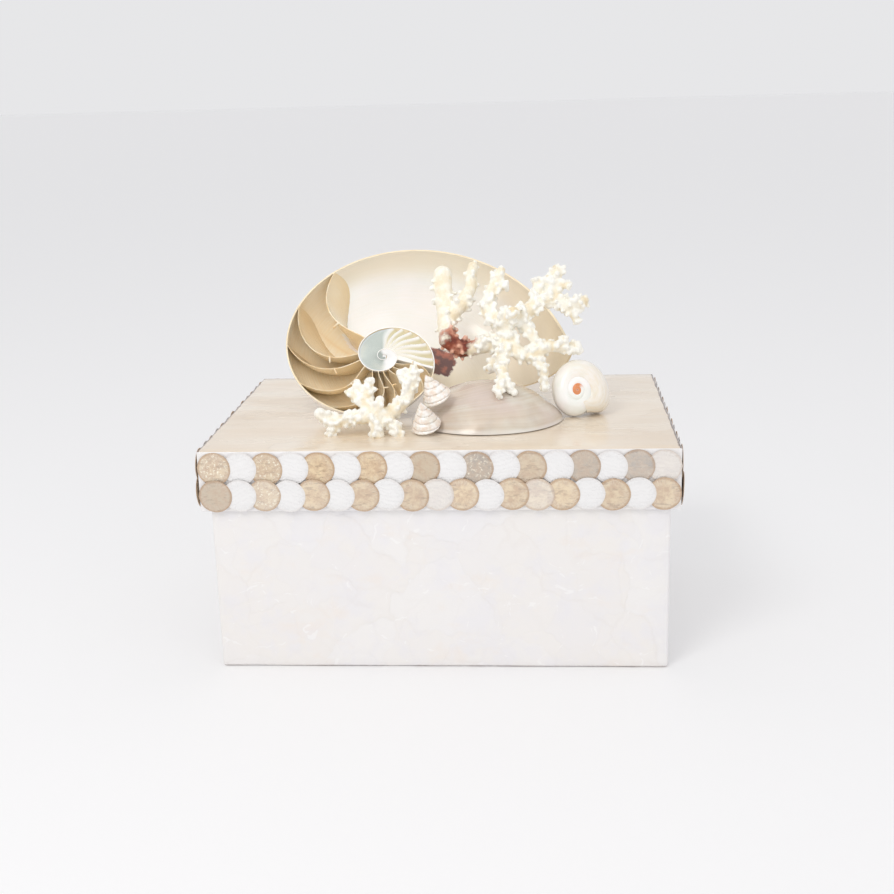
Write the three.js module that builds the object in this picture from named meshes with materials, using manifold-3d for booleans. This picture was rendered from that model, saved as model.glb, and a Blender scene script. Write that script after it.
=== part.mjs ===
// A keepsake box covered in thin shell sheet. The lid lifts off, has a rim of lapped shell discs,
// and carries a cut nautilus, two corals, two top shells, a turban shell and a pearl valve.
// Millimetres, +Z up, front towards -Y, origin at the centre of the box's underside.
import * as THREE from 'three';
import { mergeVertices } from 'three/addons/utils/BufferGeometryUtils.js';
import Module from 'manifold-3d';

const wasm = await Module();
wasm.setup();

// Box body
const BODY_LENGTH = 202.2;
const BODY_DEPTH = 143.5;
const BODY_WALL = 3;
const BODY_FLOOR = 3;
const BODY_CORNER = 3;
const BODY_EDGE = 1;
const BODY_SHOWN_HEIGHT = 75.1;

// Lid
const LID_WALL = 1.6;
const LID_TOP = 2.4;
const LID_HEIGHT = 27.5;
const LID_CORNER = 1.2;
const LID_EDGE = 0.5;
const LID_CLEARANCE = 0.5;
const REST_GAP = 0.3;

// Discs round the lid's rim
const DISC_DIAMETER = 14.8;
const DISC_THICKNESS = 0.4;
const DISC_PITCH_UPPER = 11.5;
const DISC_PITCH_LOWER = 10.8;
const DISC_BITE = 0.1;
const DISC_ROW_GAP = 0.1;
const DISC_SIDES_SHOWN = 8;
const DISC_SIDES_HIDDEN = 6;
const DISC_WOBBLE = 0.25;
const DISC_WOBBLE_STEP = 2.4;

// Nautilus, cut down its middle. Its spiral starts at the lip and tightens with every turn.
const NAUTILUS_DIAMETER = 137.5;
const NAUTILUS_TIGHTENING = 0.213;
const NAUTILUS_HALF_WIDTH = 0.36;
const NAUTILUS_INNER_EDGE = 0.1;
const NAUTILUS_WALL = 1.8;
const NAUTILUS_SEPTUM = 1.1;
const NAUTILUS_LAST_SEPTUM = THREE.MathUtils.degToRad(114);
const NAUTILUS_CHAMBER_ARC = THREE.MathUtils.degToRad(28);
const NAUTILUS_CHAMBER_SHRINK = 0.965;
const NAUTILUS_CHAMBERS = 16;
const NAUTILUS_SEPTUM_BOW = THREE.MathUtils.degToRad(30);
const NAUTILUS_FACE_TILT = THREE.MathUtils.degToRad(48);
const NAUTILUS_FACE_TURN = THREE.MathUtils.degToRad(4);
const NAUTILUS_PLACE = [-29.9, 0];
const NAUTILUS_OVERLAP = 0.01;
const NAUTILUS_CUT_PAST_LIP = 0.02;
const NAUTILUS_CUT_RISE = 0.15;

// Pearl valve, lying with its convex side up
const VALVE_LENGTH = 72;
const VALVE_DEPTH = 62;
const VALVE_HEIGHT = 18;
const VALVE_THICKNESS = 1.8;
const VALVE_DOME = 1.6;
const VALVE_PLACE = [20, -20];

// Turban shell
const TURBAN_DIAMETER = 31;
const TURBAN_TIGHTENING = 0.11;
const TURBAN_WHORLS = 4;
const TURBAN_FLATNESS = 0.72;
const TURBAN_SPIRE = 0.62;
const TURBAN_LEAN = THREE.MathUtils.degToRad(68);
const TURBAN_TURN = THREE.MathUtils.degToRad(4);
const TURBAN_PLACE = [63, -13];

// Top shells. A place is where the middle of the base is, with its height above the lid. The leans
// are towards the viewer and to the viewer's left.
const TOP_SHELL_DIAMETER = 14.2;
const TOP_SHELL_HEIGHT = 12.5;
const TOP_SHELL_WHORLS = 5;
const TOP_SHELL_GROOVE = 0.35;
const TOP_SHELL_BASE = 0.86;
const TOP_SHELL_BULGE = 0.08;
const TOP_SHELLS = [
  { name: 'top_shell_front', place: [-6, -45, 2.5], forward: 18, left: 10 },
  { name: 'top_shell_rear', place: [-1, -37.5, 13.6], forward: 12, left: 24 },
];

// Corals. A branch is a path of chosen points, with heights above the lid, thick at its start and
// thin at its end.
const CORAL_SIDES = 5;
const LARGE_CORAL_BRANCHES = [
  {
    path: [
      [-2, 20, 63.4], [-1, 13, 52.4], [0, 6, 43.4], [1, -2, 35.4], [8, 1, 30.4], [19, -5, 33.4],
      [29, -10, 38.4], [29, -11, 47.4], [37, -9, 49.4], [44, -6, 53.4], [51, -5, 56.4], [53, 0, 67.4],
    ],
    thick: 4.6,
    thin: 3.6,
  },
  {
    path: [[29, -11, 47.4], [22, -5, 46.4], [20, -2, 53.4], [23, 1, 60.4], [27, 4, 67.4]],
    thick: 4.2,
    thin: 2.8,
  },
  { path: [[44, -6, 53.4], [44, -3, 63.4]], thick: 3.4, thin: 2.4 },
  { path: [[51, -5, 56.4], [58, -8, 52.4], [65, -8, 54.4]], thick: 4, thin: 3.4 },
  {
    path: [[29, -10, 38.4], [35, -14, 31.4], [41, -15, 30.4], [49, -13, 34.4], [62, -8, 32.4]],
    thick: 4.2,
    thin: 2.8,
  },
  { path: [[41, -15, 30.4], [47, -18, 24.4], [47, -22, 16.4]], thick: 3, thin: 2 },
  { path: [[29, -10, 38.4], [28, -18, 29.4], [28, -29, 23.4], [26, -37, 17.2]], thick: 4.4, thin: 2 },
  { path: [[37, -9, 49.4], [39, -10, 42.4], [45, -13, 34.4]], thick: 3, thin: 2.8 },
  { path: [[0, 6, 43.4], [8, 8, 51.4], [12, 12, 58.4], [13, 18, 68.4]], thick: 3.8, thin: 2.6 },
  { path: [[23, 1, 60.4], [29, 0, 60.9]], thick: 2.4, thin: 1.8 },
  { path: [[51, -5, 56.4], [49, -4, 64.4]], thick: 2.6, thin: 2 },
  { path: [[52, -3, 61.4], [58.5, -4, 61.4]], thick: 2.6, thin: 1.8 },
  { path: [[58, -8, 52.4], [62.5, -9, 45.4]], thick: 2.8, thin: 2 },
  { path: [[29, -11, 47.4], [33, -16, 51.4]], thick: 4.4, thin: 3.4 },
  { path: [[56, -11, 32.4], [56, -12, 37.9]], thick: 2.4, thin: 1.8 },
  { path: [[28, -29, 23.4], [33, -32, 17.2]], thick: 2.4, thin: 1.6 },
  { path: [[28, -14, 33.4], [21, -15, 24.4]], thick: 3, thin: 2 },
];
const SMALL_CORAL_BRANCHES = [
  {
    path: [
      [-54, -46, 11.4], [-48, -46, 7.4], [-40, -46, 9.4], [-29, -47, 10.4], [-20, -43, 12.4],
      [-15, -39, 17.4], [-14, -37, 24.4], [-12, -36, 28.4],
    ],
    thick: 3.2,
    thin: 3.6,
  },
  { path: [[-27, -47, 17.4], [-29, -47, 10.4], [-28, -51, 2.1]], thick: 2.6, thin: 3.6 },
  { path: [[-24, -46, 10.4], [-18, -49, 2.4]], thick: 3, thin: 2.4 },
  { path: [[-46, -46, 8.4], [-50, -48, 2.2]], thick: 2.6, thin: 2 },
  { path: [[-31, -46, 11.4], [-35, -43, 16.4], [-42, -42, 20.4]], thick: 3.4, thin: 1.8 },
  { path: [[-35, -43, 16.4], [-32, -42, 20.4], [-32, -41, 25.4]], thick: 3, thin: 1.8 },
  { path: [[-33, -42, 19.4], [-38, -41, 24.4]], thick: 2.4, thin: 1.6 },
  { path: [[-14, -38, 22.4], [-18, -37, 28.4]], thick: 2.2, thin: 1.6 },
];

const CAPIZ = new THREE.Color(0xf3f0ec);
const CAPIZ_TOP = new THREE.Color(0xe9d8c2);
const DISC_TAN = new THREE.Color(0xd8c3a2);
const NAUTILUS_PEARL = new THREE.Color(0xe6d2b4);
const CORAL_CREAM = new THREE.Color(0xf7f1e4);
const VALVE_PEARL = new THREE.Color(0xddd3c9);
const TURBAN_PEARL = new THREE.Color(0xeee6dc);
const TOP_SHELL_PEARL = new THREE.Color(0xe0cdc6);

const LID_LENGTH = BODY_LENGTH + 2 * (LID_CLEARANCE + LID_WALL);
const LID_DEPTH = BODY_DEPTH + 2 * (LID_CLEARANCE + LID_WALL);
const LID_SURFACE = BODY_SHOWN_HEIGHT + LID_HEIGHT;
const BODY_HEIGHT = LID_SURFACE - LID_TOP - REST_GAP;

const object = new THREE.Group();

// Turns a closed geometry into a solid that can be joined and cut.
function toSolid(geometry) {
  const bare = geometry.clone();
  bare.deleteAttribute('normal');
  bare.deleteAttribute('uv');
  const merged = mergeVertices(bare);
  return new wasm.Manifold(new wasm.Mesh({
    numProp: 3,
    vertProperties: new Float32Array(merged.attributes.position.array),
    triVerts: new Uint32Array(merged.index.array),
  }));
}

function toGeometry(solid) {
  const mesh = solid.getMesh();
  const geometry = new THREE.BufferGeometry();
  geometry.setAttribute('position', new THREE.BufferAttribute(new Float32Array(mesh.vertProperties), 3));
  geometry.setIndex(new THREE.BufferAttribute(new Uint32Array(mesh.triVerts), 1));
  geometry.computeVertexNormals();
  return geometry;
}

function joinAll(solids) {
  return solids.reduce((whole, next) => whole.add(next));
}

function addPiece(name, geometry, color, roughness) {
  const material = new THREE.MeshStandardMaterial({ color, roughness, metalness: 0 });
  const mesh = new THREE.Mesh(geometry, material);
  mesh.name = name;
  object.add(mesh);
  return mesh;
}

// Moves every vertex of a geometry by a function of its old place.
function warp(geometry, place) {
  const position = geometry.attributes.position;
  const old = new THREE.Vector3();
  for (let i = 0; i < position.count; i += 1) {
    old.fromBufferAttribute(position, i);
    const moved = place(old);
    position.setXYZ(i, moved.x, moved.y, moved.z);
  }
  return geometry;
}

// Lowers or lifts a placed mesh until its lowest point is just above the given height.
function restAbove(mesh, height) {
  const box = new THREE.Box3().setFromObject(mesh, true);
  mesh.position.z += height + REST_GAP - box.min.z;
}

// Block with rounded upright corners and small chamfers at its top and bottom.
function roundedBlock(length, depth, height, corner, chamfer) {
  const shape = new THREE.Shape();
  const x = length / 2 - chamfer;
  const y = depth / 2 - chamfer;
  const r = Math.max(corner - chamfer, 0.1);
  shape.moveTo(x, r - y);
  shape.lineTo(x, y - r);
  shape.absarc(x - r, y - r, r, 0, Math.PI / 2);
  shape.absarc(r - x, y - r, r, Math.PI / 2, Math.PI);
  shape.absarc(r - x, r - y, r, Math.PI, Math.PI * 1.5);
  shape.absarc(x - r, r - y, r, Math.PI * 1.5, Math.PI * 2);
  const geometry = new THREE.ExtrudeGeometry(shape, {
    depth: height - 2 * chamfer,
    curveSegments: 2,
    bevelEnabled: chamfer > 0,
    bevelThickness: chamfer,
    bevelSize: chamfer,
    bevelSegments: 1,
  });
  return geometry.translate(0, 0, chamfer);
}

function boxBody() {
  const outside = roundedBlock(BODY_LENGTH, BODY_DEPTH, BODY_HEIGHT, BODY_CORNER, BODY_EDGE);
  const inside = roundedBlock(
    BODY_LENGTH - 2 * BODY_WALL, BODY_DEPTH - 2 * BODY_WALL, BODY_HEIGHT, BODY_CORNER - BODY_WALL, 0);
  inside.translate(0, 0, BODY_FLOOR);
  return toGeometry(toSolid(outside).subtract(toSolid(inside)));
}

function lid() {
  const outside = roundedBlock(LID_LENGTH, LID_DEPTH, LID_HEIGHT, LID_CORNER, LID_EDGE);
  const inside = roundedBlock(
    LID_LENGTH - 2 * LID_WALL, LID_DEPTH - 2 * LID_WALL, LID_HEIGHT, LID_CORNER, 0);
  inside.translate(0, 0, -LID_TOP);
  return toGeometry(toSolid(outside).subtract(toSolid(inside)));
}

// A row of discs on one side of the lid, facing +Y. Each disc laps over its neighbour on the
// viewer's right, and the lower row's discs lean outwards to lap over the upper row.
function discRow(sideLength, isLower, discSides) {
  const wantedPitch = isLower ? DISC_PITCH_LOWER : DISC_PITCH_UPPER;
  const steps = Math.round((sideLength - DISC_DIAMETER) / wantedPitch);
  const pitch = (sideLength - DISC_DIAMETER) / steps;
  const lapSlope = (DISC_THICKNESS - DISC_BITE) / pitch;
  const rowThickness = DISC_THICKNESS + lapSlope * DISC_DIAMETER;
  const leanSlope = isLower ? (rowThickness + DISC_ROW_GAP) / DISC_DIAMETER : 0;
  const edgeGap = DISC_DIAMETER / 2 + DISC_WOBBLE;
  const middle = isLower ? LID_SURFACE - LID_HEIGHT + edgeGap : LID_SURFACE - edgeGap;
  const discs = [];
  for (let i = 0; i <= steps; i += 1) {
    const disc = new THREE.CylinderGeometry(
      DISC_DIAMETER / 2, DISC_DIAMETER / 2, DISC_THICKNESS, discSides);
    disc.rotateY(Math.PI / discSides);
    warp(disc, ({ x, y, z }) => new THREE.Vector3(
      x, y + (DISC_DIAMETER / 2 - x) * lapSlope + (DISC_DIAMETER / 2 + z) * leanSlope, z));
    disc.translate(
      i * pitch - (sideLength - DISC_DIAMETER) / 2,
      DISC_THICKNESS / 2 + REST_GAP,
      middle + DISC_WOBBLE * Math.sin(i * DISC_WOBBLE_STEP));
    discs.push(toSolid(disc));
  }
  return toGeometry(joinAll(discs));
}

// Places the corner points of a square block on a round section, without creasing it.
function squareToDisc(y, z) {
  return [y * Math.sqrt(1 - z * z / 2), z * Math.sqrt(1 - y * y / 2)];
}

// One stretch of a nautilus whorl, as a solid half tube below the cut plane (z = 0). The inset
// shrinks its section, rise carries it above the plane for use as a cutter, and the bows bend its
// two ends like the cupped walls between chambers.
function nautilusStretch({ from, to, inset = 0, startBow = 0, endBow = 0, rise = 0, segments = [10, 4, 2] }) {
  const lipRadius = NAUTILUS_DIAMETER / (1 + Math.exp(-NAUTILUS_TIGHTENING * Math.PI));
  const block = new THREE.BoxGeometry(1, 1, 1, ...segments);
  return toSolid(warp(block, (point) => {
    const [across, deep] = squareToDisc(point.y * 2, rise * (point.z - 0.5) + point.z + 0.5);
    const bulge = Math.max(0, 1 - across * across - deep * deep);
    const straight = THREE.MathUtils.lerp(from, to, point.x + 0.5);
    const angle = straight + bulge * THREE.MathUtils.lerp(startBow, endBow, point.x + 0.5);
    const outer = lipRadius * Math.exp(-NAUTILUS_TIGHTENING * straight);
    const middle = outer * (1 + NAUTILUS_INNER_EDGE) / 2;
    const reach = outer * (1 - NAUTILUS_INNER_EDGE) / 2 - inset;
    const radius = middle + across * reach;
    const depth = deep * (outer * NAUTILUS_HALF_WIDTH - inset);
    return new THREE.Vector3(radius * Math.cos(angle), radius * Math.sin(angle), -depth);
  }));
}

function nautilusHalf() {
  const halfTurn = (index, extra, segments) => nautilusStretch({
    from: index * Math.PI, to: (index + 1) * Math.PI + extra, segments,
  });
  const cutter = { inset: NAUTILUS_WALL, endBow: NAUTILUS_SEPTUM_BOW, rise: NAUTILUS_CUT_RISE };
  const bodyChamber = nautilusStretch({
    ...cutter, from: -NAUTILUS_CUT_PAST_LIP, to: NAUTILUS_LAST_SEPTUM, segments: [7, 4, 1],
  });
  let outerWhorl = halfTurn(0, NAUTILUS_OVERLAP).subtract(bodyChamber).add(halfTurn(1, NAUTILUS_OVERLAP));
  let innerWhorl = joinAll([
    halfTurn(2, NAUTILUS_OVERLAP, [7, 4, 1]), halfTurn(3, NAUTILUS_OVERLAP, [5, 3, 1])]);
  let angle = NAUTILUS_LAST_SEPTUM;
  let arc = NAUTILUS_CHAMBER_ARC;
  for (let i = 0; i < NAUTILUS_CHAMBERS; i += 1) {
    const radius = NAUTILUS_DIAMETER / 2 * Math.exp(-NAUTILUS_TIGHTENING * angle);
    const chamber = nautilusStretch({
      ...cutter,
      from: angle + NAUTILUS_SEPTUM / radius,
      to: angle + arc,
      startBow: NAUTILUS_SEPTUM_BOW,
      segments: [1, 4, 1],
    });
    if (angle < 2 * Math.PI) {
      outerWhorl = outerWhorl.subtract(chamber);
    }
    if (angle + arc + NAUTILUS_SEPTUM_BOW > 2 * Math.PI) {
      innerWhorl = innerWhorl.subtract(chamber);
    }
    angle += arc;
    arc *= NAUTILUS_CHAMBER_SHRINK;
  }
  return toGeometry(joinAll([outerWhorl, innerWhorl, halfTurn(4, 0, [3, 2, 1])]));
}

function placeNautilus(mesh) {
  const face = new THREE.Vector3(
    Math.sin(NAUTILUS_FACE_TURN) * Math.cos(NAUTILUS_FACE_TILT),
    -Math.cos(NAUTILUS_FACE_TURN) * Math.cos(NAUTILUS_FACE_TILT),
    Math.sin(NAUTILUS_FACE_TILT));
  const along = new THREE.Vector3(Math.cos(NAUTILUS_FACE_TURN), Math.sin(NAUTILUS_FACE_TURN), 0);
  const up = new THREE.Vector3().crossVectors(face, along);
  mesh.quaternion.setFromRotationMatrix(new THREE.Matrix4().makeBasis(along, up, face));
  mesh.position.set(...NAUTILUS_PLACE, 0);
  restAbove(mesh, LID_SURFACE);
}

// Thin dome: the upper half of a sphere becomes its outside and the lower half its inside.
function pearlValve() {
  const sphere = new THREE.SphereGeometry(1, 18, 8).rotateX(Math.PI / 2);
  return warp(mergeVertices(sphere), ({ x, y, z }) => {
    const inset = z < -0.001 ? VALVE_THICKNESS : 0;
    return new THREE.Vector3(
      x * (VALVE_LENGTH / 2 - inset),
      y * (VALVE_DEPTH / 2 - inset),
      Math.abs(z) ** VALVE_DOME * (VALVE_HEIGHT - inset));
  });
}

// The turban shell's apex points to +Z. Each whorl is a flattened ball that widens clockwise up
// to the lip, and the next whorl is a smaller copy of it, set higher.
function turbanShell() {
  const reach = TURBAN_DIAMETER / (1 + Math.exp(-TURBAN_TIGHTENING * Math.PI));
  const whorls = [];
  for (let i = 0; i < TURBAN_WHORLS; i += 1) {
    const size = reach * Math.exp(-TURBAN_TIGHTENING * 2 * Math.PI * i);
    const ball = new THREE.SphereGeometry(1, 14, 7).rotateX(Math.PI / 2);
    warp(ball, ({ x, y, z }) => {
      const angle = (Math.atan2(y, x) + 2 * Math.PI - 0.001) % (2 * Math.PI);
      const grown = size * Math.exp(-TURBAN_TIGHTENING * angle);
      return new THREE.Vector3(x * grown, y * grown, z * grown * TURBAN_FLATNESS);
    });
    whorls.push(toSolid(ball.translate(0, 0, (reach - size) * TURBAN_SPIRE)));
  }
  return toGeometry(joinAll(whorls));
}

// Cone with a rounded base edge and a groove above every whorl.
function topShell() {
  const radius = TOP_SHELL_DIAMETER / 2;
  const profile = [new THREE.Vector2(0, 0), new THREE.Vector2(radius * TOP_SHELL_BASE, 0)];
  for (let i = 0; i < TOP_SHELL_WHORLS; i += 1) {
    const low = i / TOP_SHELL_WHORLS;
    const high = (i + 1) / TOP_SHELL_WHORLS;
    profile.push(new THREE.Vector2(radius * (1 - low), TOP_SHELL_HEIGHT * (low + TOP_SHELL_BULGE)));
    if (i < TOP_SHELL_WHORLS - 1) {
      const waist = radius * (1 - high);
      const lip = TOP_SHELL_HEIGHT * high - TOP_SHELL_GROOVE / 2;
      profile.push(new THREE.Vector2(waist + TOP_SHELL_GROOVE, lip));
      profile.push(new THREE.Vector2(waist - TOP_SHELL_GROOVE, TOP_SHELL_HEIGHT * high));
    }
  }
  profile.push(new THREE.Vector2(0, TOP_SHELL_HEIGHT));
  return mergeVertices(new THREE.LatheGeometry(profile, 10).rotateX(Math.PI / 2));
}

// A tapered round bar along a smooth curve through the path's points.
function coralBar(points, thick, thin, steps) {
  const curve = new THREE.CatmullRomCurve3(points);
  const { normals, binormals } = curve.computeFrenetFrames(steps);
  return toSolid(warp(new THREE.CylinderGeometry(1, 1, 1, CORAL_SIDES, steps), ({ x, y, z }) => {
    const along = THREE.MathUtils.clamp(y + 0.5, 0, 1);
    const step = Math.round(along * steps);
    const radius = THREE.MathUtils.lerp(thick, thin, along);
    return curve.getPoint(along)
      .addScaledVector(normals[step], x * radius)
      .addScaledVector(binormals[step], -z * radius);
  }));
}

function coral(branches) {
  return toGeometry(joinAll(branches.map(({ path, thick, thin }) => {
    const points = path.map((point) => new THREE.Vector3(...point));
    return coralBar(points, thick, thin, points.length);
  })));
}

addPiece('box_body', boxBody(), CAPIZ, 0.35);
addPiece('lid', lid(), CAPIZ_TOP, 0.3).position.z = BODY_SHOWN_HEIGHT;

const lidSides = [
  { side: 'front', rowLength: LID_LENGTH, across: LID_DEPTH, turn: Math.PI, sides: DISC_SIDES_SHOWN },
  { side: 'back', rowLength: LID_LENGTH, across: LID_DEPTH, turn: 0, sides: DISC_SIDES_HIDDEN },
  { side: 'left', rowLength: LID_DEPTH, across: LID_LENGTH, turn: Math.PI / 2, sides: DISC_SIDES_HIDDEN },
  { side: 'right', rowLength: LID_DEPTH, across: LID_LENGTH, turn: -Math.PI / 2, sides: DISC_SIDES_HIDDEN },
];
for (const { side, rowLength, across, turn, sides } of lidSides) {
  for (const [level, isLower] of [['upper', false], ['lower', true]]) {
    const row = discRow(rowLength, isLower, sides).translate(0, across / 2, 0);
    addPiece(`rim_discs_${side}_${level}`, row, DISC_TAN, 0.4).rotation.z = turn;
  }
}

placeNautilus(addPiece('nautilus_half', nautilusHalf(), NAUTILUS_PEARL, 0.25));

const valve = addPiece('pearl_valve', pearlValve(), VALVE_PEARL, 0.3);
valve.position.set(...VALVE_PLACE, 0);
restAbove(valve, LID_SURFACE);

const turban = addPiece('turban_shell', turbanShell(), TURBAN_PEARL, 0.25);
turban.rotation.set(TURBAN_LEAN, 0, TURBAN_TURN);
turban.position.set(...TURBAN_PLACE, 0);
restAbove(turban, LID_SURFACE);

for (const { name, place: [x, y, height], forward, left } of TOP_SHELLS) {
  const shell = addPiece(name, topShell(), TOP_SHELL_PEARL, 0.3);
  shell.rotation.set(THREE.MathUtils.degToRad(forward), THREE.MathUtils.degToRad(-left), 0);
  shell.position.set(x, y, LID_SURFACE + height);
}

addPiece('coral_large', coral(LARGE_CORAL_BRANCHES), CORAL_CREAM, 0.8).position.z = LID_SURFACE;
restAbove(addPiece('coral_small', coral(SMALL_CORAL_BRANCHES), CORAL_CREAM, 0.8), LID_SURFACE);

export default object;
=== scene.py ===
"""A keepsake box clad in mother-of-pearl, with a cut nautilus, corals and small shells on its lid."""

import math
import random

import bmesh
import bpy
import numpy as np
from mathutils import Matrix, Vector, noise


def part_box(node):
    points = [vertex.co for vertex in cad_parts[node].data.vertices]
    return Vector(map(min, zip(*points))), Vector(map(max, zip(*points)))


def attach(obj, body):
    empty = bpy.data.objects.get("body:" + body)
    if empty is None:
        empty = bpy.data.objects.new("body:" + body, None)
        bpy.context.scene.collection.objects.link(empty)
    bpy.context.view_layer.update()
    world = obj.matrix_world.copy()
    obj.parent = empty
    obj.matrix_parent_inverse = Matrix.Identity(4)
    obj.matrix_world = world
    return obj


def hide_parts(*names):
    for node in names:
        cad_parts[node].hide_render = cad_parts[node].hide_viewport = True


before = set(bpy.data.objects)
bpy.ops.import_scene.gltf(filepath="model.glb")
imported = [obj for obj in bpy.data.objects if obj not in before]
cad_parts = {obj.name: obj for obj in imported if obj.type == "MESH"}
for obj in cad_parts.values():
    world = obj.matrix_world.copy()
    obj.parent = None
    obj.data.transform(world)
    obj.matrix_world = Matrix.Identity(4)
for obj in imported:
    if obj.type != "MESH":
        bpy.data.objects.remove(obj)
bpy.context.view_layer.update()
MM = 0.001

# The setting: a plain pale floor, broad soft light from above and the left, and the camera where
# the photographer stood, a little above the box and right of its middle.
CAMERA_PLACE = (44.15 * MM, -611.6 * MM, 253.55 * MM)
CAMERA_DOWN = math.radians(15.50)
CAMERA_LEFT = math.radians(4.19)
CAMERA_ROLL = math.radians(-1.59)
CAMERA_LENS = 52.35
FLOOR_SIZE = 40.0
FLOOR_GAP = 0.1 * MM
FLOOR_COLOUR = (0.965, 0.962, 0.965, 1)
FLOOR_ROUGHNESS = 0.6
SKY_COLOUR = (0.985, 0.985, 1.0, 1)
SKY_STRENGTH = 0.81
CAMERA_NEAR = 10 * MM
# Each soft box: its name, place and target in metres, size, watts, colour and spread in degrees.
LIGHTS = (
    ("window", (-0.45, -0.85, 0.95), (0, 0, 0.13), 0.45, 3.2, (1.0, 0.985, 0.955), 180),
    ("shells", (-0.10, -0.23, 0.45), (-0.02, 0.01, 0.15), 0.12, 0.011, (1.0, 0.99, 0.97), 34),
    ("ceiling", (0.25, -0.25, 1.3), (0, 0, 0.1), 1.2, 0.4, (1.0, 1.0, 1.0), 180),
    ("fill", (0.8, -0.95, 0.45), (0, 0, 0.08), 0.8, 0.7, (1.0, 0.99, 0.98), 180),
)

camera = bpy.data.objects.new("camera", bpy.data.cameras.new("camera"))
bpy.context.scene.collection.objects.link(camera)
camera.data.lens = CAMERA_LENS
camera.data.clip_start = CAMERA_NEAR
camera.matrix_world = (
    Matrix.Translation(CAMERA_PLACE)
    @ Matrix.Rotation(CAMERA_LEFT, 4, "Z")
    @ Matrix.Rotation(math.pi / 2 - CAMERA_DOWN, 4, "X")
    @ Matrix.Rotation(CAMERA_ROLL, 4, "Z")
)
bpy.context.scene.camera = camera
bpy.context.scene.view_settings.view_transform = "Standard"

bpy.ops.mesh.primitive_plane_add(size=FLOOR_SIZE, location=(0, 0, -FLOOR_GAP))
floor = bpy.context.object
floor.name = "floor"
floor_material = bpy.data.materials.new("floor")
floor_material.use_nodes = True
floor_shader = floor_material.node_tree.nodes["Principled BSDF"]
floor_shader.inputs["Base Color"].default_value = FLOOR_COLOUR
floor_shader.inputs["Roughness"].default_value = FLOOR_ROUGHNESS
floor.data.materials.append(floor_material)

world = bpy.data.worlds.new("studio")
bpy.context.scene.world = world
world.use_nodes = True
world.node_tree.nodes["Background"].inputs["Color"].default_value = SKY_COLOUR
world.node_tree.nodes["Background"].inputs["Strength"].default_value = SKY_STRENGTH


def add_light(name, place, target, size, power, colour, spread):
    """A square soft box that points at a target."""
    light = bpy.data.lights.new(name, "AREA")
    light.size = size
    light.energy = power
    light.color = colour
    light.spread = math.radians(spread)
    lamp = bpy.data.objects.new(name, light)
    lamp.location = place
    lamp.rotation_euler = (Vector(target) - Vector(place)).to_track_quat("-Z", "Y").to_euler()
    bpy.context.scene.collection.objects.link(lamp)


for light_values in LIGHTS:
    add_light(*light_values)


# The box body: thin board clad outside with overlapping flakes of white capiz shell, hollow and
# open at the top. The flakes' edges show as faint seams, and a ragged brown band of painted shade
# runs along the bottom edge, where the box meets the floor.
BODY_BEVEL = 1.45 * MM
LONG_EDGE = 10 * MM
BODY_CUTS = 30
BODY_WAVE = 0.35 * MM
WAVE_LENGTH = 30 * MM
BODY_WALL = 3.0 * MM
BEVEL_SEGMENTS = 3
COAT_ROUGHNESS = 0.12
FLAKE_SIZE = 34 * MM
# Where the ragged band of painted brown shade along the bottom edge fades out.
BODY_SHADE_TOP = -0.5 * MM
BODY_PEARL = (0.885, 0.865, 0.85, 1)
BODY_CREAM = (0.87, 0.83, 0.785, 1)
BODY_LILAC = (0.84, 0.825, 0.85, 1)
BODY_WARM = (0.88, 0.81, 0.75, 1)
SEAM_TAN = (0.58, 0.47, 0.40, 1)
SCRATCH_WHITE = (0.95, 0.94, 0.93, 1)
BOTTOM_SHADE_BROWN = (0.34, 0.22, 0.17, 1)


def select_only(piece):
    """Makes one object the only selected and active one."""
    bpy.ops.object.select_all(action="DESELECT")
    piece.select_set(True)
    bpy.context.view_layer.objects.active = piece


def apply_modifiers(piece):
    """Applies each modifier of a piece, in order."""
    select_only(piece)
    for modifier in list(piece.modifiers):
        bpy.ops.object.modifier_apply(modifier=modifier.name)


def add_block(name, low, high):
    """Adds a block between two corners, with its place in its mesh."""
    bpy.ops.object.select_all(action="DESELECT")
    middle = (Vector(low) + Vector(high)) / 2
    bpy.ops.mesh.primitive_cube_add(size=1, location=middle, scale=Vector(high) - Vector(low))
    block = bpy.context.object
    block.name = name
    bpy.ops.object.transform_apply(location=True, rotation=True, scale=True)
    return block


def hollow(piece, side, wall, depth):
    """Insets the face on one side (+1 top, -1 bottom) by the wall and pushes it in by the depth."""
    select_only(piece)
    bpy.ops.object.mode_set(mode="EDIT")
    bpy.ops.mesh.select_mode(type="FACE")
    bpy.ops.mesh.select_all(action="DESELECT")
    mesh = bmesh.from_edit_mesh(piece.data)
    for face in mesh.faces:
        face.select_set(face.normal.z * side > 0.9)
    bmesh.update_edit_mesh(piece.data)
    bpy.ops.mesh.inset(thickness=wall, depth=0)
    bpy.ops.mesh.extrude_region_move(TRANSFORM_OT_translate={"value": (0, 0, -side * depth)})
    bpy.ops.object.mode_set(mode="OBJECT")


def round_and_wave(piece, cuts, bevel, wave):
    """Rounds the edges, cuts the large faces up and gives the surface a slight hand-made wave."""
    rounding = piece.modifiers.new("rounding", "BEVEL")
    rounding.width = bevel
    rounding.segments = BEVEL_SEGMENTS
    rounding.limit_method = "ANGLE"
    apply_modifiers(piece)
    bpy.ops.object.mode_set(mode="EDIT")
    bpy.ops.mesh.select_mode(type="EDGE")
    bpy.ops.mesh.select_all(action="DESELECT")
    mesh = bmesh.from_edit_mesh(piece.data)
    for edge in mesh.edges:
        edge.select_set(edge.calc_length() > LONG_EDGE)
    bmesh.update_edit_mesh(piece.data)
    bpy.ops.mesh.subdivide(number_cuts=cuts)
    bpy.ops.object.mode_set(mode="OBJECT")
    waves = bpy.data.textures.new("hand-made wave", "CLOUDS")
    waves.noise_scale = WAVE_LENGTH
    waving = piece.modifiers.new("waving", "DISPLACE")
    waving.texture = waves
    waving.texture_coords = "GLOBAL"
    waving.strength = wave
    apply_modifiers(piece)
    bpy.ops.object.shade_smooth_by_angle(angle=math.radians(50))


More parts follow.
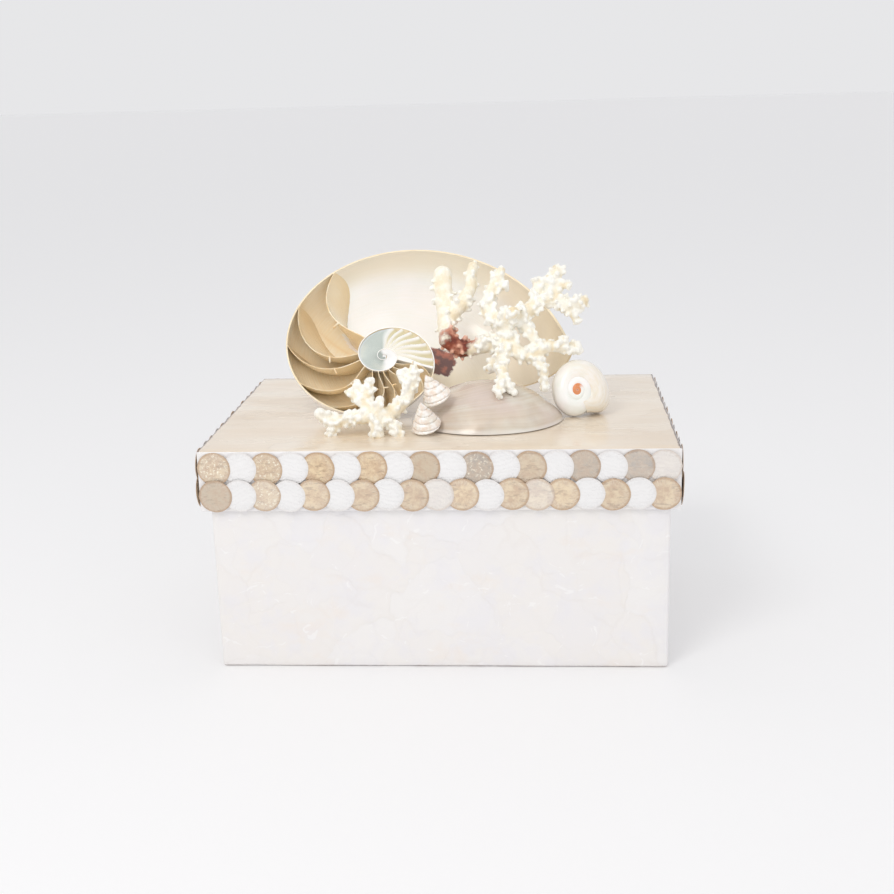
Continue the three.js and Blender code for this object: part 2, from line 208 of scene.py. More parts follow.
def put(tree, kind, values=None, **options):
    """Adds a shader node, sets its options, and links or sets its inputs."""
    made = tree.nodes.new("ShaderNode" + kind)
    for option, value in options.items():
        setattr(made, option, value)
    for socket, value in (values or {}).items():
        if isinstance(value, bpy.types.NodeSocket):
            tree.links.new(value, made.inputs[socket])
        else:
            made.inputs[socket].default_value = value
    return made


def calc(tree, operation, *numbers, clamp=False):
    """A math node's result."""
    return put(tree, "Math", dict(enumerate(numbers)), operation=operation, use_clamp=clamp).outputs[0]


def times(tree, first, second):
    """Two values multiplied."""
    return calc(tree, "MULTIPLY", first, second)


def plus(tree, first, second, clamp=False):
    """Two values added."""
    return calc(tree, "ADD", first, second, clamp=clamp)


def fit(tree, value, low, high, to_low=0.0, to_high=1.0):
    """Maps a value smoothly from one range to another."""
    values = {"Value": value, "From Min": low, "From Max": high, "To Min": to_low, "To Max": to_high}
    return put(tree, "MapRange", values, interpolation_type="SMOOTHSTEP").outputs["Result"]


def mix(tree, factor, first, second, mode="MIX"):
    """Blends two colours."""
    values = {0: factor, 6: first, 7: second}
    return put(tree, "Mix", values, data_type="RGBA", blend_type=mode).outputs[2]


def tint(tree, colour, mask, share, shade):
    """Blends in a share of another colour where a mask is high."""
    return mix(tree, times(tree, mask, share), colour, shade)


def object_place(tree):
    """The place on the object, in metres."""
    return put(tree, "TexCoord").outputs["Object"]


def speckle(tree, place, scale, detail=2.0, rough=0.5, stretch=None):
    """A noise value over the surface."""
    if stretch is not None:
        place = put(tree, "Mapping", {"Vector": place, "Scale": stretch}).outputs[0]
    values = {"Vector": place, "Scale": scale, "Detail": detail, "Roughness": rough}
    return put(tree, "TexNoise", values).outputs["Fac"]


def start_material(name, roughness, coat=0.0):
    """A new material with its shader; the uniform values are set on the shader itself."""
    material = bpy.data.materials.new(name)
    material.use_nodes = True
    shader = material.node_tree.nodes["Principled BSDF"]
    shader.inputs["Roughness"].default_value = roughness
    shader.inputs["Coat Weight"].default_value = coat
    shader.inputs["Coat Roughness"].default_value = COAT_ROUGHNESS
    return material, material.node_tree, shader


def start_group(name, inputs, outputs):
    """A new shader node group with named float inputs and typed outputs."""
    tree = bpy.data.node_groups.new(name, "ShaderNodeTree")
    for label, value in inputs.items():
        socket = tree.interface.new_socket(label, in_out="INPUT", socket_type="NodeSocketFloat")
        socket.default_value = value
    for label, kind in outputs.items():
        tree.interface.new_socket(label, in_out="OUTPUT", socket_type="NodeSocket" + kind)
    return tree, tree.nodes.new("NodeGroupInput").outputs, tree.nodes.new("NodeGroupOutput")


def capiz_group():
    """Overlapping flakes of thin shell: a tone for each flake, its seams, scratches and height."""
    tree, given, result = start_group(
        "capiz flakes", {"Flake size": FLAKE_SIZE, "Seam": 0.035},
        dict.fromkeys(("Tone", "Second tone", "Seams", "Scratches", "Height"), "Float"))
    place = object_place(tree)
    wander = put(tree, "TexNoise", {"Vector": place, "Scale": 55.0, "Detail": 3.0}).outputs["Color"]
    wander = put(tree, "VectorMath", {0: wander, 1: (0.5, 0.5, 0.5)}, operation="SUBTRACT").outputs[0]
    shift = put(tree, "VectorMath", {0: wander, "Scale": 0.022}, operation="SCALE").outputs[0]
    bent = put(tree, "VectorMath", {0: place, 1: shift}, operation="ADD").outputs[0]
    scale = calc(tree, "DIVIDE", 1.0, given["Flake size"])
    cells, edges = [put(tree, "TexVoronoi", {"Vector": bent, "Scale": scale}, feature=kind)
                    for kind in ("F1", "DISTANCE_TO_EDGE")]
    moved = put(tree, "VectorMath", {0: bent, 1: (0.31, 0.17, 0.23)}, operation="ADD").outputs[0]
    small_scale = times(tree, scale, 1.7)
    small, small_edges = [put(tree, "TexVoronoi", {"Vector": moved, "Scale": small_scale}, feature=kind)
                          for kind in ("F1", "DISTANCE_TO_EDGE")]
    tone = put(tree, "SeparateColor", {"Color": cells.outputs["Color"]}).outputs
    small_tone = put(tree, "SeparateColor", {"Color": small.outputs["Color"]}).outputs
    seam = fit(tree, edges.outputs["Distance"], 0.0, given["Seam"], 1.0, 0.0)
    small_width = times(tree, given["Seam"], 1.3)
    small_seam = fit(tree, small_edges.outputs["Distance"], 0.0, small_width, 1.0, 0.0)
    patchy = fit(tree, speckle(tree, place, 60.0, 2.0), 0.42, 0.62)
    seams = plus(tree, times(tree, seam, patchy), times(tree, small_seam, 0.35), clamp=True)
    first = speckle(tree, bent, 260.0, 2.0, 0.6, (0.16, 1.0, 1.0))
    second = speckle(tree, moved, 300.0, 2.0, 0.6, (1.0, 1.0, 0.14))
    scratches = calc(tree, "MAXIMUM", fit(tree, first, 0.66, 0.70), fit(tree, second, 0.67, 0.71))
    height = plus(tree, times(tree, tone[0], 0.6), times(tree, small_tone[1], 0.4))
    height = calc(tree, "SUBTRACT", height, times(tree, seams, 0.5))
    height = plus(tree, height, times(tree, speckle(tree, place, 140.0, 3.0), 0.5))
    for label, value in (("Tone", tone[0]), ("Second tone", small_tone[1]), ("Seams", seams),
                         ("Scratches", scratches), ("Height", height)):
        tree.links.new(value, result.inputs[label])
    return tree


CAPIZ_FLAKES = capiz_group()


def bump(tree, shader, height, distance, strength=1.0):
    """Raises the surface by a height value."""
    normal = put(tree, "Bump", {"Height": height, "Distance": distance, "Strength": strength})
    tree.links.new(normal.outputs[0], shader.inputs["Normal"])


def white_capiz(name, shade_below):
    """White capiz, with a ragged band of painted brown shade below a height."""
    material, tree, shader = start_material(name, 0.34, 0.25)
    flakes = put(tree, "Group", {"Flake size": FLAKE_SIZE, "Seam": 0.04}, node_tree=CAPIZ_FLAKES).outputs
    place = object_place(tree)
    cloud = fit(tree, speckle(tree, place, 22.0, 2.0), 0.35, 0.7)
    colour = tint(tree, BODY_PEARL, flakes["Tone"], 0.5, BODY_CREAM)
    colour = tint(tree, colour, flakes["Second tone"], times(tree, cloud, 0.5), BODY_LILAC)
    mottle = fit(tree, speckle(tree, place, 75.0, 5.0, 0.62), 0.45, 0.66)
    colour = tint(tree, colour, mottle, 0.55, BODY_LILAC)
    warm = fit(tree, speckle(tree, place, 48.0, 4.0, 0.6, (1.0, 1.0, 1.6)), 0.54, 0.74)
    colour = tint(tree, colour, warm, 0.5, BODY_WARM)
    colour = tint(tree, colour, flakes["Seams"], 0.05, SEAM_TAN)
    colour = tint(tree, colour, flakes["Scratches"], 0.5, SCRATCH_WHITE)
    height = put(tree, "SeparateXYZ", {"Vector": place}).outputs["Z"]
    ragged = plus(tree, height, times(tree, speckle(tree, place, 120.0, 3.0), -2.4 * MM))
    # Painted shade: a ragged brown band below the given height, standing in for the dark line where the
    # bottom edge meets the floor.
    painted_shade = fit(tree, ragged, shade_below - 1.4 * MM, shade_below, 1.0, 0.0)
    colour = tint(tree, colour, painted_shade, 0.75, BOTTOM_SHADE_BROWN)
    tree.links.new(colour, shader.inputs["Base Color"])
    rough = plus(tree, 0.27, times(tree, flakes["Tone"], 0.16))
    tree.links.new(rough, shader.inputs["Roughness"])
    bump(tree, shader, flakes["Height"], 0.11 * MM)
    return material


body_low, body_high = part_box("box_body")
body = add_block("capiz_box", body_low, body_high)
hollow(body, 1, BODY_WALL, body_high.z - body_low.z - BODY_WALL)
round_and_wave(body, BODY_CUTS, BODY_BEVEL, BODY_WAVE)
body.data.materials.append(white_capiz("body capiz", BODY_SHADE_TOP))
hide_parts("box_body")
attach(body, "root")


# The lid: a shallow tray turned over, with a warm, glossy sheet of capiz on top and white capiz
# down its sides. A ragged dark line of glue shows along the sheet's left and right edges.
LID_WALL = 1.6 * MM
LID_SPREAD = 2.0 * MM
LID_TOP = 2.4 * MM
LID_BEVEL = 0.7 * MM
# The lid's band of painted brown shade lies below its lower edge, so next to none of it shows.
LID_SHADE_DROP = 2.4 * MM
LID_FLAKE_SIZE = 50 * MM
LID_CUTS = 24
LID_WAVE = 0.25 * MM
LID_TAN = (0.72, 0.56, 0.385, 1)
LID_CREAM = (0.86, 0.725, 0.57, 1)
LID_PALE = (0.91, 0.835, 0.725, 1)
GLUE_BROWN = (0.12, 0.055, 0.035, 1)


def warm_capiz(half_length):
    """The lid's warm sheet, streaked along its length."""
    material, tree, shader = start_material("lid capiz", 0.22, 0.45)
    flake_values = {"Flake size": LID_FLAKE_SIZE, "Seam": 0.03}
    flakes = put(tree, "Group", flake_values, node_tree=CAPIZ_FLAKES).outputs
    place = object_place(tree)
    streak = fit(tree, speckle(tree, place, 45.0, 4.0, 0.6, (0.22, 1.0, 1.0)), 0.3, 0.7)
    cloud = fit(tree, speckle(tree, place, 18.0, 2.0), 0.3, 0.7)
    colour = mix(tree, streak, LID_CREAM, LID_PALE)
    colour = tint(tree, colour, cloud, 0.45, LID_TAN)
    golden = fit(tree, speckle(tree, place, 30.0, 4.0, 0.6, (0.3, 1.0, 1.0)), 0.5, 0.68)
    colour = tint(tree, colour, golden, 0.5, LID_TAN)
    colour = tint(tree, colour, flakes["Tone"], 0.35, LID_PALE)
    colour = tint(tree, colour, flakes["Seams"], 0.08, SEAM_TAN)
    across = put(tree, "SeparateXYZ", {"Vector": place}).outputs["X"]
    ragged = plus(tree, calc(tree, "ABSOLUTE", across),
                  times(tree, speckle(tree, place, 90.0, 4.0, 0.7), 2.2 * MM))
    glue = fit(tree, ragged, half_length - 0.3 * MM, half_length + 0.5 * MM)
    colour = mix(tree, glue, colour, GLUE_BROWN)
    tree.links.new(colour, shader.inputs["Base Color"])
    tree.links.new(plus(tree, 0.18, times(tree, streak, 0.14)), shader.inputs["Roughness"])
    bump(tree, shader, plus(tree, flakes["Height"], times(tree, streak, 0.4)), 0.1 * MM)
    return material


lid_low, lid_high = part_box("lid")
lid_low.x -= LID_SPREAD
lid_high.x += LID_SPREAD
lid = add_block("capiz_lid", lid_low, lid_high)
hollow(lid, -1, LID_WALL, lid_high.z - lid_low.z - LID_TOP)
round_and_wave(lid, LID_CUTS, LID_BEVEL, LID_WAVE)
lid.data.materials.append(white_capiz("lid side capiz", lid_low.z - LID_SHADE_DROP))
lid.data.materials.append(warm_capiz(lid_high.x))
for polygon in lid.data.polygons:
    if polygon.normal.z > 0.8 and polygon.center.z > lid_high.z - LID_TOP / 2:
        polygon.material_index = 1
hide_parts("lid")
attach(lid, "root")


# The rim: punched discs of shell in two rows on each side of the lid, tan and white by turns.
# Each laps over its right-hand neighbour, and the lower row laps over the upper one.
LID_LENGTH = 206.4 * MM + 2 * LID_SPREAD
LID_DEPTH = 147.7 * MM
DISC_RADIUS = 7.4 * MM
DISC_THICKNESS = 0.4 * MM
DISC_PITCHES = {"upper": 11.5 * MM, "lower": 10.8 * MM}
DISC_BITE = 0.1 * MM
DISC_ROW_GAP = 0.1 * MM
DISC_STAND_OFF = 0.3 * MM
DISC_SIDES = 44
DISC_WOBBLE = 0.25 * MM
DISC_WOBBLE_STEP = 2.4
DISC_TILT = 0.5
DISC_RAGGED = 0.022
DISC_LUMPS = 2.6
DISC_SEEDS = 50
DISC_TAN_SPREAD = (0.82, 1.0)
DISC_GREY_SPREAD = (0.0, 0.22)
# How much thinner a disc is at its edge, as a share of its thickness, and how sharply.
DISC_THINNING = 0.45
DISC_THINNING_POWER = 6
# How far each inset lies inside the last, as a share of the radius.
DISC_INSETS = (0.06, 0.10, 0.26, 0.30)
DISC_TAN = (0.62, 0.43, 0.27, 1)
DISC_GOLD = (0.86, 0.68, 0.44, 1)
DISC_WHITE = (0.88, 0.87, 0.865, 1)
DISC_GREY = (0.36, 0.30, 0.25, 1)
DISC_STREAK = (0.36, 0.25, 0.16, 1)
DISC_RIM_BROWN = (0.45, 0.27, 0.15, 1)
DISC_RAY = (0.90, 0.80, 0.64, 1)
DISC_PAINTED_GLINT = (1.0, 0.95, 0.80, 1)
# The front discs' tones from the viewer's left, and each tone's shares of tan, grey and painted glints.
UPPER_TONES = "gwgwtwtwmwswmwdwdp"
LOWER_TONES = "mwgwtwtwtptwtltwtwt"
TONE_SHARES = {"t": (1.0, 0.0, 0.0), "g": (0.9, 0.05, 0.8), "w": (0.0, 0.0, 0.0), "d": (0.85, 0.85, 0.1),
               "s": (0.9, 0.8, 0.6), "m": (0.95, 0.35, 0.0), "p": (0.25, 0.1, 0.0), "l": (0.6, 0.0, 0.0)}


def disc_material():
    """Shell disc: its tone is an attribute of the disc, its rings and rays follow its UV map."""
    material, tree, shader = start_material("rim disc shell", 0.36, 0.2)
    tone = put(tree, "Attribute", attribute_name="disc_tone")
    shares = put(tree, "SeparateColor", {"Color": tone.outputs["Color"]}).outputs
    flat = put(tree, "UVMap", uv_map="disc")
    spot = put(tree, "SeparateXYZ", {"Vector": flat.outputs[0]}).outputs
    reach = calc(tree, "SQRT", plus(tree, times(tree, spot[0], spot[0]),
                                    times(tree, spot[1], spot[1])))
    turn = calc(tree, "ARCTAN2", spot[1], spot[0])
    place = object_place(tree)
    cloud = fit(tree, speckle(tree, place, 260.0, 5.0, 0.7), 0.36, 0.64)
    polar = put(tree, "CombineXYZ", {0: times(tree, turn, 3.4), 1: times(tree, reach, 1.1),
                                     2: shares[2]}).outputs[0]
    rays = fit(tree, speckle(tree, polar, 3.2, 3.0, 0.6), 0.35, 0.68)
    rays = times(tree, rays, fit(tree, reach, 0.35, 0.8))
    rings = plus(tree, times(tree, calc(tree, "SINE", times(tree, reach, 46.0)), 0.5), 0.5)
    tan = mix(tree, cloud, DISC_TAN, DISC_GOLD)
    tan = tint(tree, tan, rays, 0.45, DISC_RAY)
    dull = times(tree, shares[1], plus(tree, 0.45, times(tree, cloud, 0.55)))
    tan = mix(tree, dull, tan, DISC_GREY)
    streak = fit(tree, speckle(tree, place, 190.0, 4.0, 0.65, (1.0, 1.0, 3.2)), 0.55, 0.66)
    tan = tint(tree, tan, streak, 0.5, DISC_STREAK)
    colour = mix(tree, shares[0], DISC_WHITE, tan)
    # Painted glints: tiny bright specks mixed into the colour, standing in for light sparkling on the
    # shell.
    painted_glints = fit(tree, speckle(tree, place, 900.0, 4.0, 0.7), 0.55, 0.62)
    colour = tint(tree, colour, painted_glints, tone.outputs["Alpha"], DISC_PAINTED_GLINT)
    edge = fit(tree, plus(tree, reach, times(tree, cloud, 0.08)), 0.86, 1.0)
    strength = plus(tree, 0.10, times(tree, shares[0], 0.55))
    colour = tint(tree, colour, edge, strength, DISC_RIM_BROWN)
    tree.links.new(colour, shader.inputs["Base Color"])
    ridges = calc(tree, "SINE", plus(tree, times(tree, spot[1], 26.0),
                                times(tree, cloud, 5.0)))
    height = plus(tree, times(tree, rings, 0.12), plus(tree, rays, cloud))
    height = plus(tree, height, times(tree, ridges, 0.25))
    bump(tree, shader, height, 0.10 * MM)
    return material


def add_disc():
    """One flat disc facing +Y at the origin, its front cut into rings; disc_row thins its edge, which
    domes the front a little.
    """
    bpy.ops.object.select_all(action="DESELECT")
    bpy.ops.mesh.primitive_cylinder_add(
        vertices=DISC_SIDES, radius=DISC_RADIUS, depth=DISC_THICKNESS, rotation=(-math.pi / 2, 0, 0))
    disc = bpy.context.object
    bpy.ops.object.transform_apply(location=True, rotation=True, scale=True)
    bpy.ops.object.mode_set(mode="EDIT")
    bpy.ops.mesh.select_mode(type="FACE")
    bpy.ops.mesh.select_all(action="DESELECT")
    mesh = bmesh.from_edit_mesh(disc.data)
    for face in mesh.faces:
        face.select_set(face.normal.y > 0.9)
    bmesh.update_edit_mesh(disc.data)
    for step in DISC_INSETS:
        bpy.ops.mesh.inset(thickness=step * DISC_RADIUS, depth=0)
    bpy.ops.mesh.poke()
    bpy.ops.object.mode_set(mode="OBJECT")
    return disc


def disc_row(name, length, across, level, turn, tones, draw, pattern):
    """One row on one side of the lid, as one piece made of lapped copies of the pattern disc."""
    diameter = 2 * DISC_RADIUS
    steps = round((length - diameter) / DISC_PITCHES[level])
    pitch = (length - diameter) / steps
    lap = (DISC_THICKNESS - DISC_BITE) / pitch
    row_thickness = DISC_THICKNESS + lap * diameter
    lean = (row_thickness + DISC_ROW_GAP) / diameter if level == "lower" else 0.0
    edge = DISC_RADIUS + DISC_WOBBLE
    middle = lid_low.z + edge if level == "lower" else lid_high.z - edge
    points, faces, spots, shades = [], [], [], []
    for i in range(steps + 1):
        seed = draw.uniform(0, DISC_SEEDS)
        tilt = draw.uniform(-DISC_TILT, DISC_TILT)
        # The viewer's left is the far end of the row, because the row is turned to face outwards.
        tan, grey, glint_share = TONE_SHARES[tones[(steps - i) % len(tones)]]
        tan *= draw.uniform(*DISC_TAN_SPREAD)
        grey = min(1.0, grey + draw.uniform(*DISC_GREY_SPREAD))
        # The fourth value is the disc's share of painted glints.
        tone = (tan, grey, seed / DISC_SEEDS, glint_share)
        first = len(points)
        for vertex in pattern.data.vertices:
            x, y, z = vertex.co
            reach = math.hypot(x, z) / DISC_RADIUS
            around = Vector((math.cos(math.atan2(z, x)), math.sin(math.atan2(z, x)), seed))
            ragged = 1 + reach * DISC_RAGGED * noise.noise(around * DISC_LUMPS)
            if y > 0:
                y -= DISC_THICKNESS * DISC_THINNING * reach ** DISC_THINNING_POWER
            local_x = (x * math.cos(tilt) - z * math.sin(tilt)) * ragged
            local_z = (x * math.sin(tilt) + z * math.cos(tilt)) * ragged
            points.append(Vector((
                local_x + i * pitch - (length - diameter) / 2,
                y + (DISC_RADIUS - local_x) * lap + (DISC_RADIUS + local_z) * lean
                + DISC_THICKNESS / 2 + DISC_STAND_OFF + across / 2,
                local_z + middle + DISC_WOBBLE * math.sin(i * DISC_WOBBLE_STEP))))
            spots.append((x / DISC_RADIUS, z / DISC_RADIUS))
            shades.append(tone)
        for polygon in pattern.data.polygons:
            faces.append([first + index for index in polygon.vertices])
    mesh = bpy.data.meshes.new(name)
    mesh.from_pydata(points, [], faces)
    mesh.transform(Matrix.Rotation(turn, 4, "Z"))
    layer = mesh.uv_layers.new(name="disc")
    for loop in mesh.loops:
        layer.data[loop.index].uv = spots[loop.vertex_index]
    shade = mesh.color_attributes.new("disc_tone", "FLOAT_COLOR", "POINT")
    for index, value in enumerate(shades):
        shade.data[index].color = value
    row = bpy.data.objects.new(name, mesh)
    bpy.context.scene.collection.objects.link(row)
    select_only(row)
    bpy.ops.object.shade_smooth_by_angle(angle=math.radians(40))
    row.data.materials.append(DISC_SHELL)
    return row


DISC_SHELL = disc_material()
pattern_disc = add_disc()
disc_draw = random.Random(11)
for side, length, across, turn in (
    ("front", LID_LENGTH, LID_DEPTH, math.pi),
    ("back", LID_LENGTH, LID_DEPTH, 0.0),
    ("left", LID_DEPTH, LID_LENGTH, math.pi / 2),
    ("right", LID_DEPTH, LID_LENGTH, -math.pi / 2),
):
    for level, tones in (("upper", UPPER_TONES), ("lower", LOWER_TONES)):
        name = f"discs_{side}_{level}"
        row = disc_row(name, length, across, level, turn, tones, disc_draw, pattern_disc)
        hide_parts(f"rim_discs_{side}_{level}")
        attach(row, "root")
bpy.data.objects.remove(pattern_disc)


# The nautilus: sawn in half down its middle and polished, leaning back with its cut face to the
# front. Cupped walls close off the old chambers, and the innermost coil is filled with nacre.
NAUTILUS_DIAMETER = 137.5 * MM
NAUTILUS_TIGHTENING = 0.213
NAUTILUS_HALF_WIDTH = 0.36
NAUTILUS_INNER_EDGE = 0.1
NAUTILUS_TILT = math.radians(48)
NAUTILUS_TURN = math.radians(4)
NAUTILUS_MIDDLE = (-29.9 * MM, 0.0)
NAUTILUS_RISE = 26.43 * MM
NAUTILUS_INWARD_TURNS = 2.85
NAUTILUS_SECTION_END = math.radians(166.5)
INNER_SECTION_END = math.radians(106)
NAUTILUS_WALL = (0.3 * MM, 0.009)
SEPTUM_THICKNESS = (0.22 * MM, 0.0042)
# Each septum: the angle where it leaves the rim, how far it bows, how its inner end trails, and
# how far its foot on the far wall sways.
SEPTA = (
    (114.5, 22, 5, 12), (141.5, 35, 26, 9), (169, 25, 18, 7), (199, 27, -6, 6), (228, 30, -22, 5),
    (249, 24, -26, 4), (269.5, 17, -32, 3), (291, 18, -42, 2), (310, 18, -46, 1), (327, 16, -40, 0),
)
SEPTUM_SKEW = 1.28
TRAIL_AT_WALL = 0.3
# The share of the wall's own half section that a septum fills, across and in depth.
SEPTUM_FIT = (0.985, 0.98)
WALL_POINTS = 30
WALL_POINT_EASE = 1.15
LAST_WHORL_STEP = 1.5
INNER_WHORL_STEP = 3.0
# How far a septum's sawn edge stands proud of the cut, and the smallest radius it is worked out at.
SEPTUM_PROUD = 0.05 * MM
SEPTUM_LEAST_RADIUS = 2 * MM
SEPTUM_ROWS = 22
SEPTUM_COLUMNS = 16
SIPHUNCLE_AT = 0.56
SIPHUNCLE_BORE = (0.2 * MM, 0.0075)
SIPHUNCLE_LENGTH = 0.07
SIPHUNCLE_START = -0.1
SIPHUNCLE_TAPER = 0.3
SIPHUNCLE_SUNK = 0.35
SIPHUNCLE_SIDES = 8
SIPHUNCLE_STEPS = 5
COIL_POINTS = 18
# The shell's material slots.
OUTSIDE, RIM, PEARL, CHAMBER, LINE, COIL = range(6)
COIL_START = 341
LINING_PAST_FOOT = 3.2
COIL_RIBS = (343, 355, 368, 382, 397, 411, 425, 438)
COIL_SMOOTH_FROM = 448
COIL_STEP = 1.5
RIB_LEAN = math.radians(16)
RIB_CURVE = 1.2
RIB_WAVES = (5, 2)
RIB_WANDER = math.radians(2.5)
RIB_FADE = math.radians(14)
GROOVE_SKEW = 0.8
GROOVE_SHARPNESS = 1.4
GROOVE_FADE = 0.7
FACE_BACKING = 0.9 * MM
# Shares of the rim's radius: the face's outer and inner edges, how deep the face, its grooves and
# its crescent lie, the crescent's rise in its middle, and the face's thickness.
FACE_OUTER = 0.98
FACE_INNER = 0.9
FACE_DEPTH = 0.012
GROOVE_DEPTH = 0.10
CRESCENT_DEPTH = 0.03
CRESCENT_RISE = 0.035
FACE_THICKNESS = 0.12
PEARL_WHITE = (0.985, 0.98, 0.965, 1)
PEARL_PINK = (0.985, 0.925, 0.91, 1)
PEARL_CREAM = (0.95, 0.87, 0.72, 1)
PEARL_GREEN = (0.84, 0.90, 0.82, 1)
SHELL_GOLD = (0.90, 0.70, 0.40, 1)
SHELL_TAN = (0.95, 0.82, 0.59, 1)
SHELL_LIGHT = (0.97, 0.91, 0.76, 1)
SHELL_AMBER_AND_SHADE = (0.80, 0.56, 0.27, 1)
RIM_ORANGE = (0.91, 0.77, 0.54, 1)
LINE_GOLD = (0.90, 0.66, 0.36, 1)
LINE_PALE = (0.95, 0.85, 0.66, 1)
COIL_BLUE = (0.42, 0.47, 0.44, 1)
COIL_EDGE = (0.62, 0.68, 0.74, 1)
COIL_OLIVE = (0.72, 0.65, 0.42, 1)
STAIN_DARK = (0.10, 0.015, 0.012, 1)
STAIN_RED = (0.42, 0.10, 0.045, 1)
# A dark maroon patch on the lining beside the coil: partly red-brown stain, partly painted shade of the
# hollow under the coil.
LINING_STAIN_AND_SHADE_PLACE = (-5.0 * MM, 29.0 * MM, 121.0 * MM)
LINING_STAIN_AND_SHADE_REACH = 9.5 * MM

nautilus_face = Vector((
    math.sin(NAUTILUS_TURN) * math.cos(NAUTILUS_TILT),
    -math.cos(NAUTILUS_TURN) * math.cos(NAUTILUS_TILT),
    math.sin(NAUTILUS_TILT)))
nautilus_along = Vector((math.cos(NAUTILUS_TURN), math.sin(NAUTILUS_TURN), 0))
nautilus_up = nautilus_face.cross(nautilus_along)
nautilus_centre = Vector((*NAUTILUS_MIDDLE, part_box("nautilus_half")[0].z + NAUTILUS_RISE))
lip_radius = NAUTILUS_DIAMETER / (1 + math.exp(-NAUTILUS_TIGHTENING * math.pi))
turn_shrink = math.exp(-NAUTILUS_TIGHTENING * 2 * math.pi)


def rim_radius(angle):
    """The rim's distance from the centre, at an angle inwards from the lip."""
    return lip_radius * np.exp(-NAUTILUS_TIGHTENING * angle)


def in_shell(angle, radius, depth):
    """Places polar points of the cut plane, pushed in behind it by a depth."""
    across = np.multiply.outer(radius * np.cos(angle), nautilus_along)
    above = np.multiply.outer(radius * np.sin(angle), nautilus_up)
    behind = np.multiply.outer(depth, nautilus_face)
    return np.array(nautilus_centre) + across + above - behind


def new_store():
    """Empty lists that a mesh is gathered in."""
    return {"points": [], "faces": [], "slots": [], "spots": [], "tones": []}


def add_skin(store, points, spots, tones, slots, capped=(None, None)):
    """Adds rows of closed rings as a skin. A cap joins a ring's first half to its second half."""
    rows, columns = points.shape[:2]
    first = len(store["points"])
    store["points"].extend(points.reshape(-1, 3).tolist())
    store["spots"].extend(spots.reshape(-1, 2).tolist())
    store["tones"].extend(tones.reshape(-1, 3).tolist())
    for i in range(rows - 1):
        for j in range(columns):
            k = (j + 1) % columns
            here = first + i * columns
            store["faces"].append((here + j, here + k, here + columns + k, here + columns + j))
            store["slots"].append(int(slots[i][j]))
    for row, slot in zip((0, rows - 1), capped):
        if slot is None:
            continue
        start = first + row * columns
        for j in range(columns // 2 - 1):
            far = columns - 1 - j
            store["faces"].append((start + j, start + j + 1, start + far - 1, start + far))
            store["slots"].append(slot)


def finish_skin(name, store, materials, smooth_angle=40):
    """Makes the gathered skins one mesh with its UV map, tones and materials."""
    mesh = bpy.data.meshes.new(name)
    mesh.from_pydata(store["points"], [], store["faces"])
    mesh.polygons.foreach_set("material_index", store["slots"])
    layer = mesh.uv_layers.new(name="skin")
    corners = np.zeros(len(mesh.loops), int)
    mesh.loops.foreach_get("vertex_index", corners)
    layer.data.foreach_set("uv", np.array(store["spots"], np.float32)[corners].ravel())
    tone = mesh.color_attributes.new("tone", "FLOAT_COLOR", "POINT")
    tones = np.ones((len(store["points"]), 4), np.float32)
    tones[:, :3] = store["tones"]
    tone.data.foreach_set("color", tones.ravel())
    for material in materials:
        mesh.materials.append(material)
    piece = bpy.data.objects.new(name, mesh)
    bpy.context.scene.collection.objects.link(piece)
    select_only(piece)
    bpy.ops.object.mode_set(mode="EDIT")
    bpy.ops.mesh.select_all(action="SELECT")
    bpy.ops.mesh.remove_doubles(threshold=0.002 * MM)
    bpy.ops.mesh.normals_make_consistent(inside=False)
    bpy.ops.object.mode_set(mode="OBJECT")
    bpy.ops.object.shade_smooth_by_angle(angle=math.radians(smooth_angle))
    return piece


def septum_angle(start, bow, tail, sway, ratio, depth):
    """Where a septum lies, at a share of the rim's radius and of the section's depth."""
    across = (ratio - (1 + NAUTILUS_INNER_EDGE) / 2) / ((1 - NAUTILUS_INNER_EDGE) / 2)
    deep = depth / NAUTILUS_HALF_WIDTH
    bulge = np.clip(1 - across ** 2 - deep ** 2, 0, 1)
    trail = tail * np.clip((1 - across) / 2, 0, 1) ** 3 * (TRAIL_AT_WALL + (1 - TRAIL_AT_WALL) * bulge)
    return np.radians(start + bow * bulge + trail + sway * (deep ** 4 - SEPTUM_SKEW * across * deep))


def septum_foot(septum, ring):
    """Where a septum meets the wall, round the section, in degrees."""
    start, _, tail, sway = septum
    end = tail * np.clip((1 - np.cos(ring)) / 2, 0, 1) ** 3 * TRAIL_AT_WALL
    return start + end + sway * (np.sin(ring) ** 4 - SEPTUM_SKEW * np.cos(ring) * np.sin(ring))


def wall_thickness(outer):
    """The wall's thickness, which grows with the whorl."""
    return NAUTILUS_WALL[0] + NAUTILUS_WALL[1] * outer


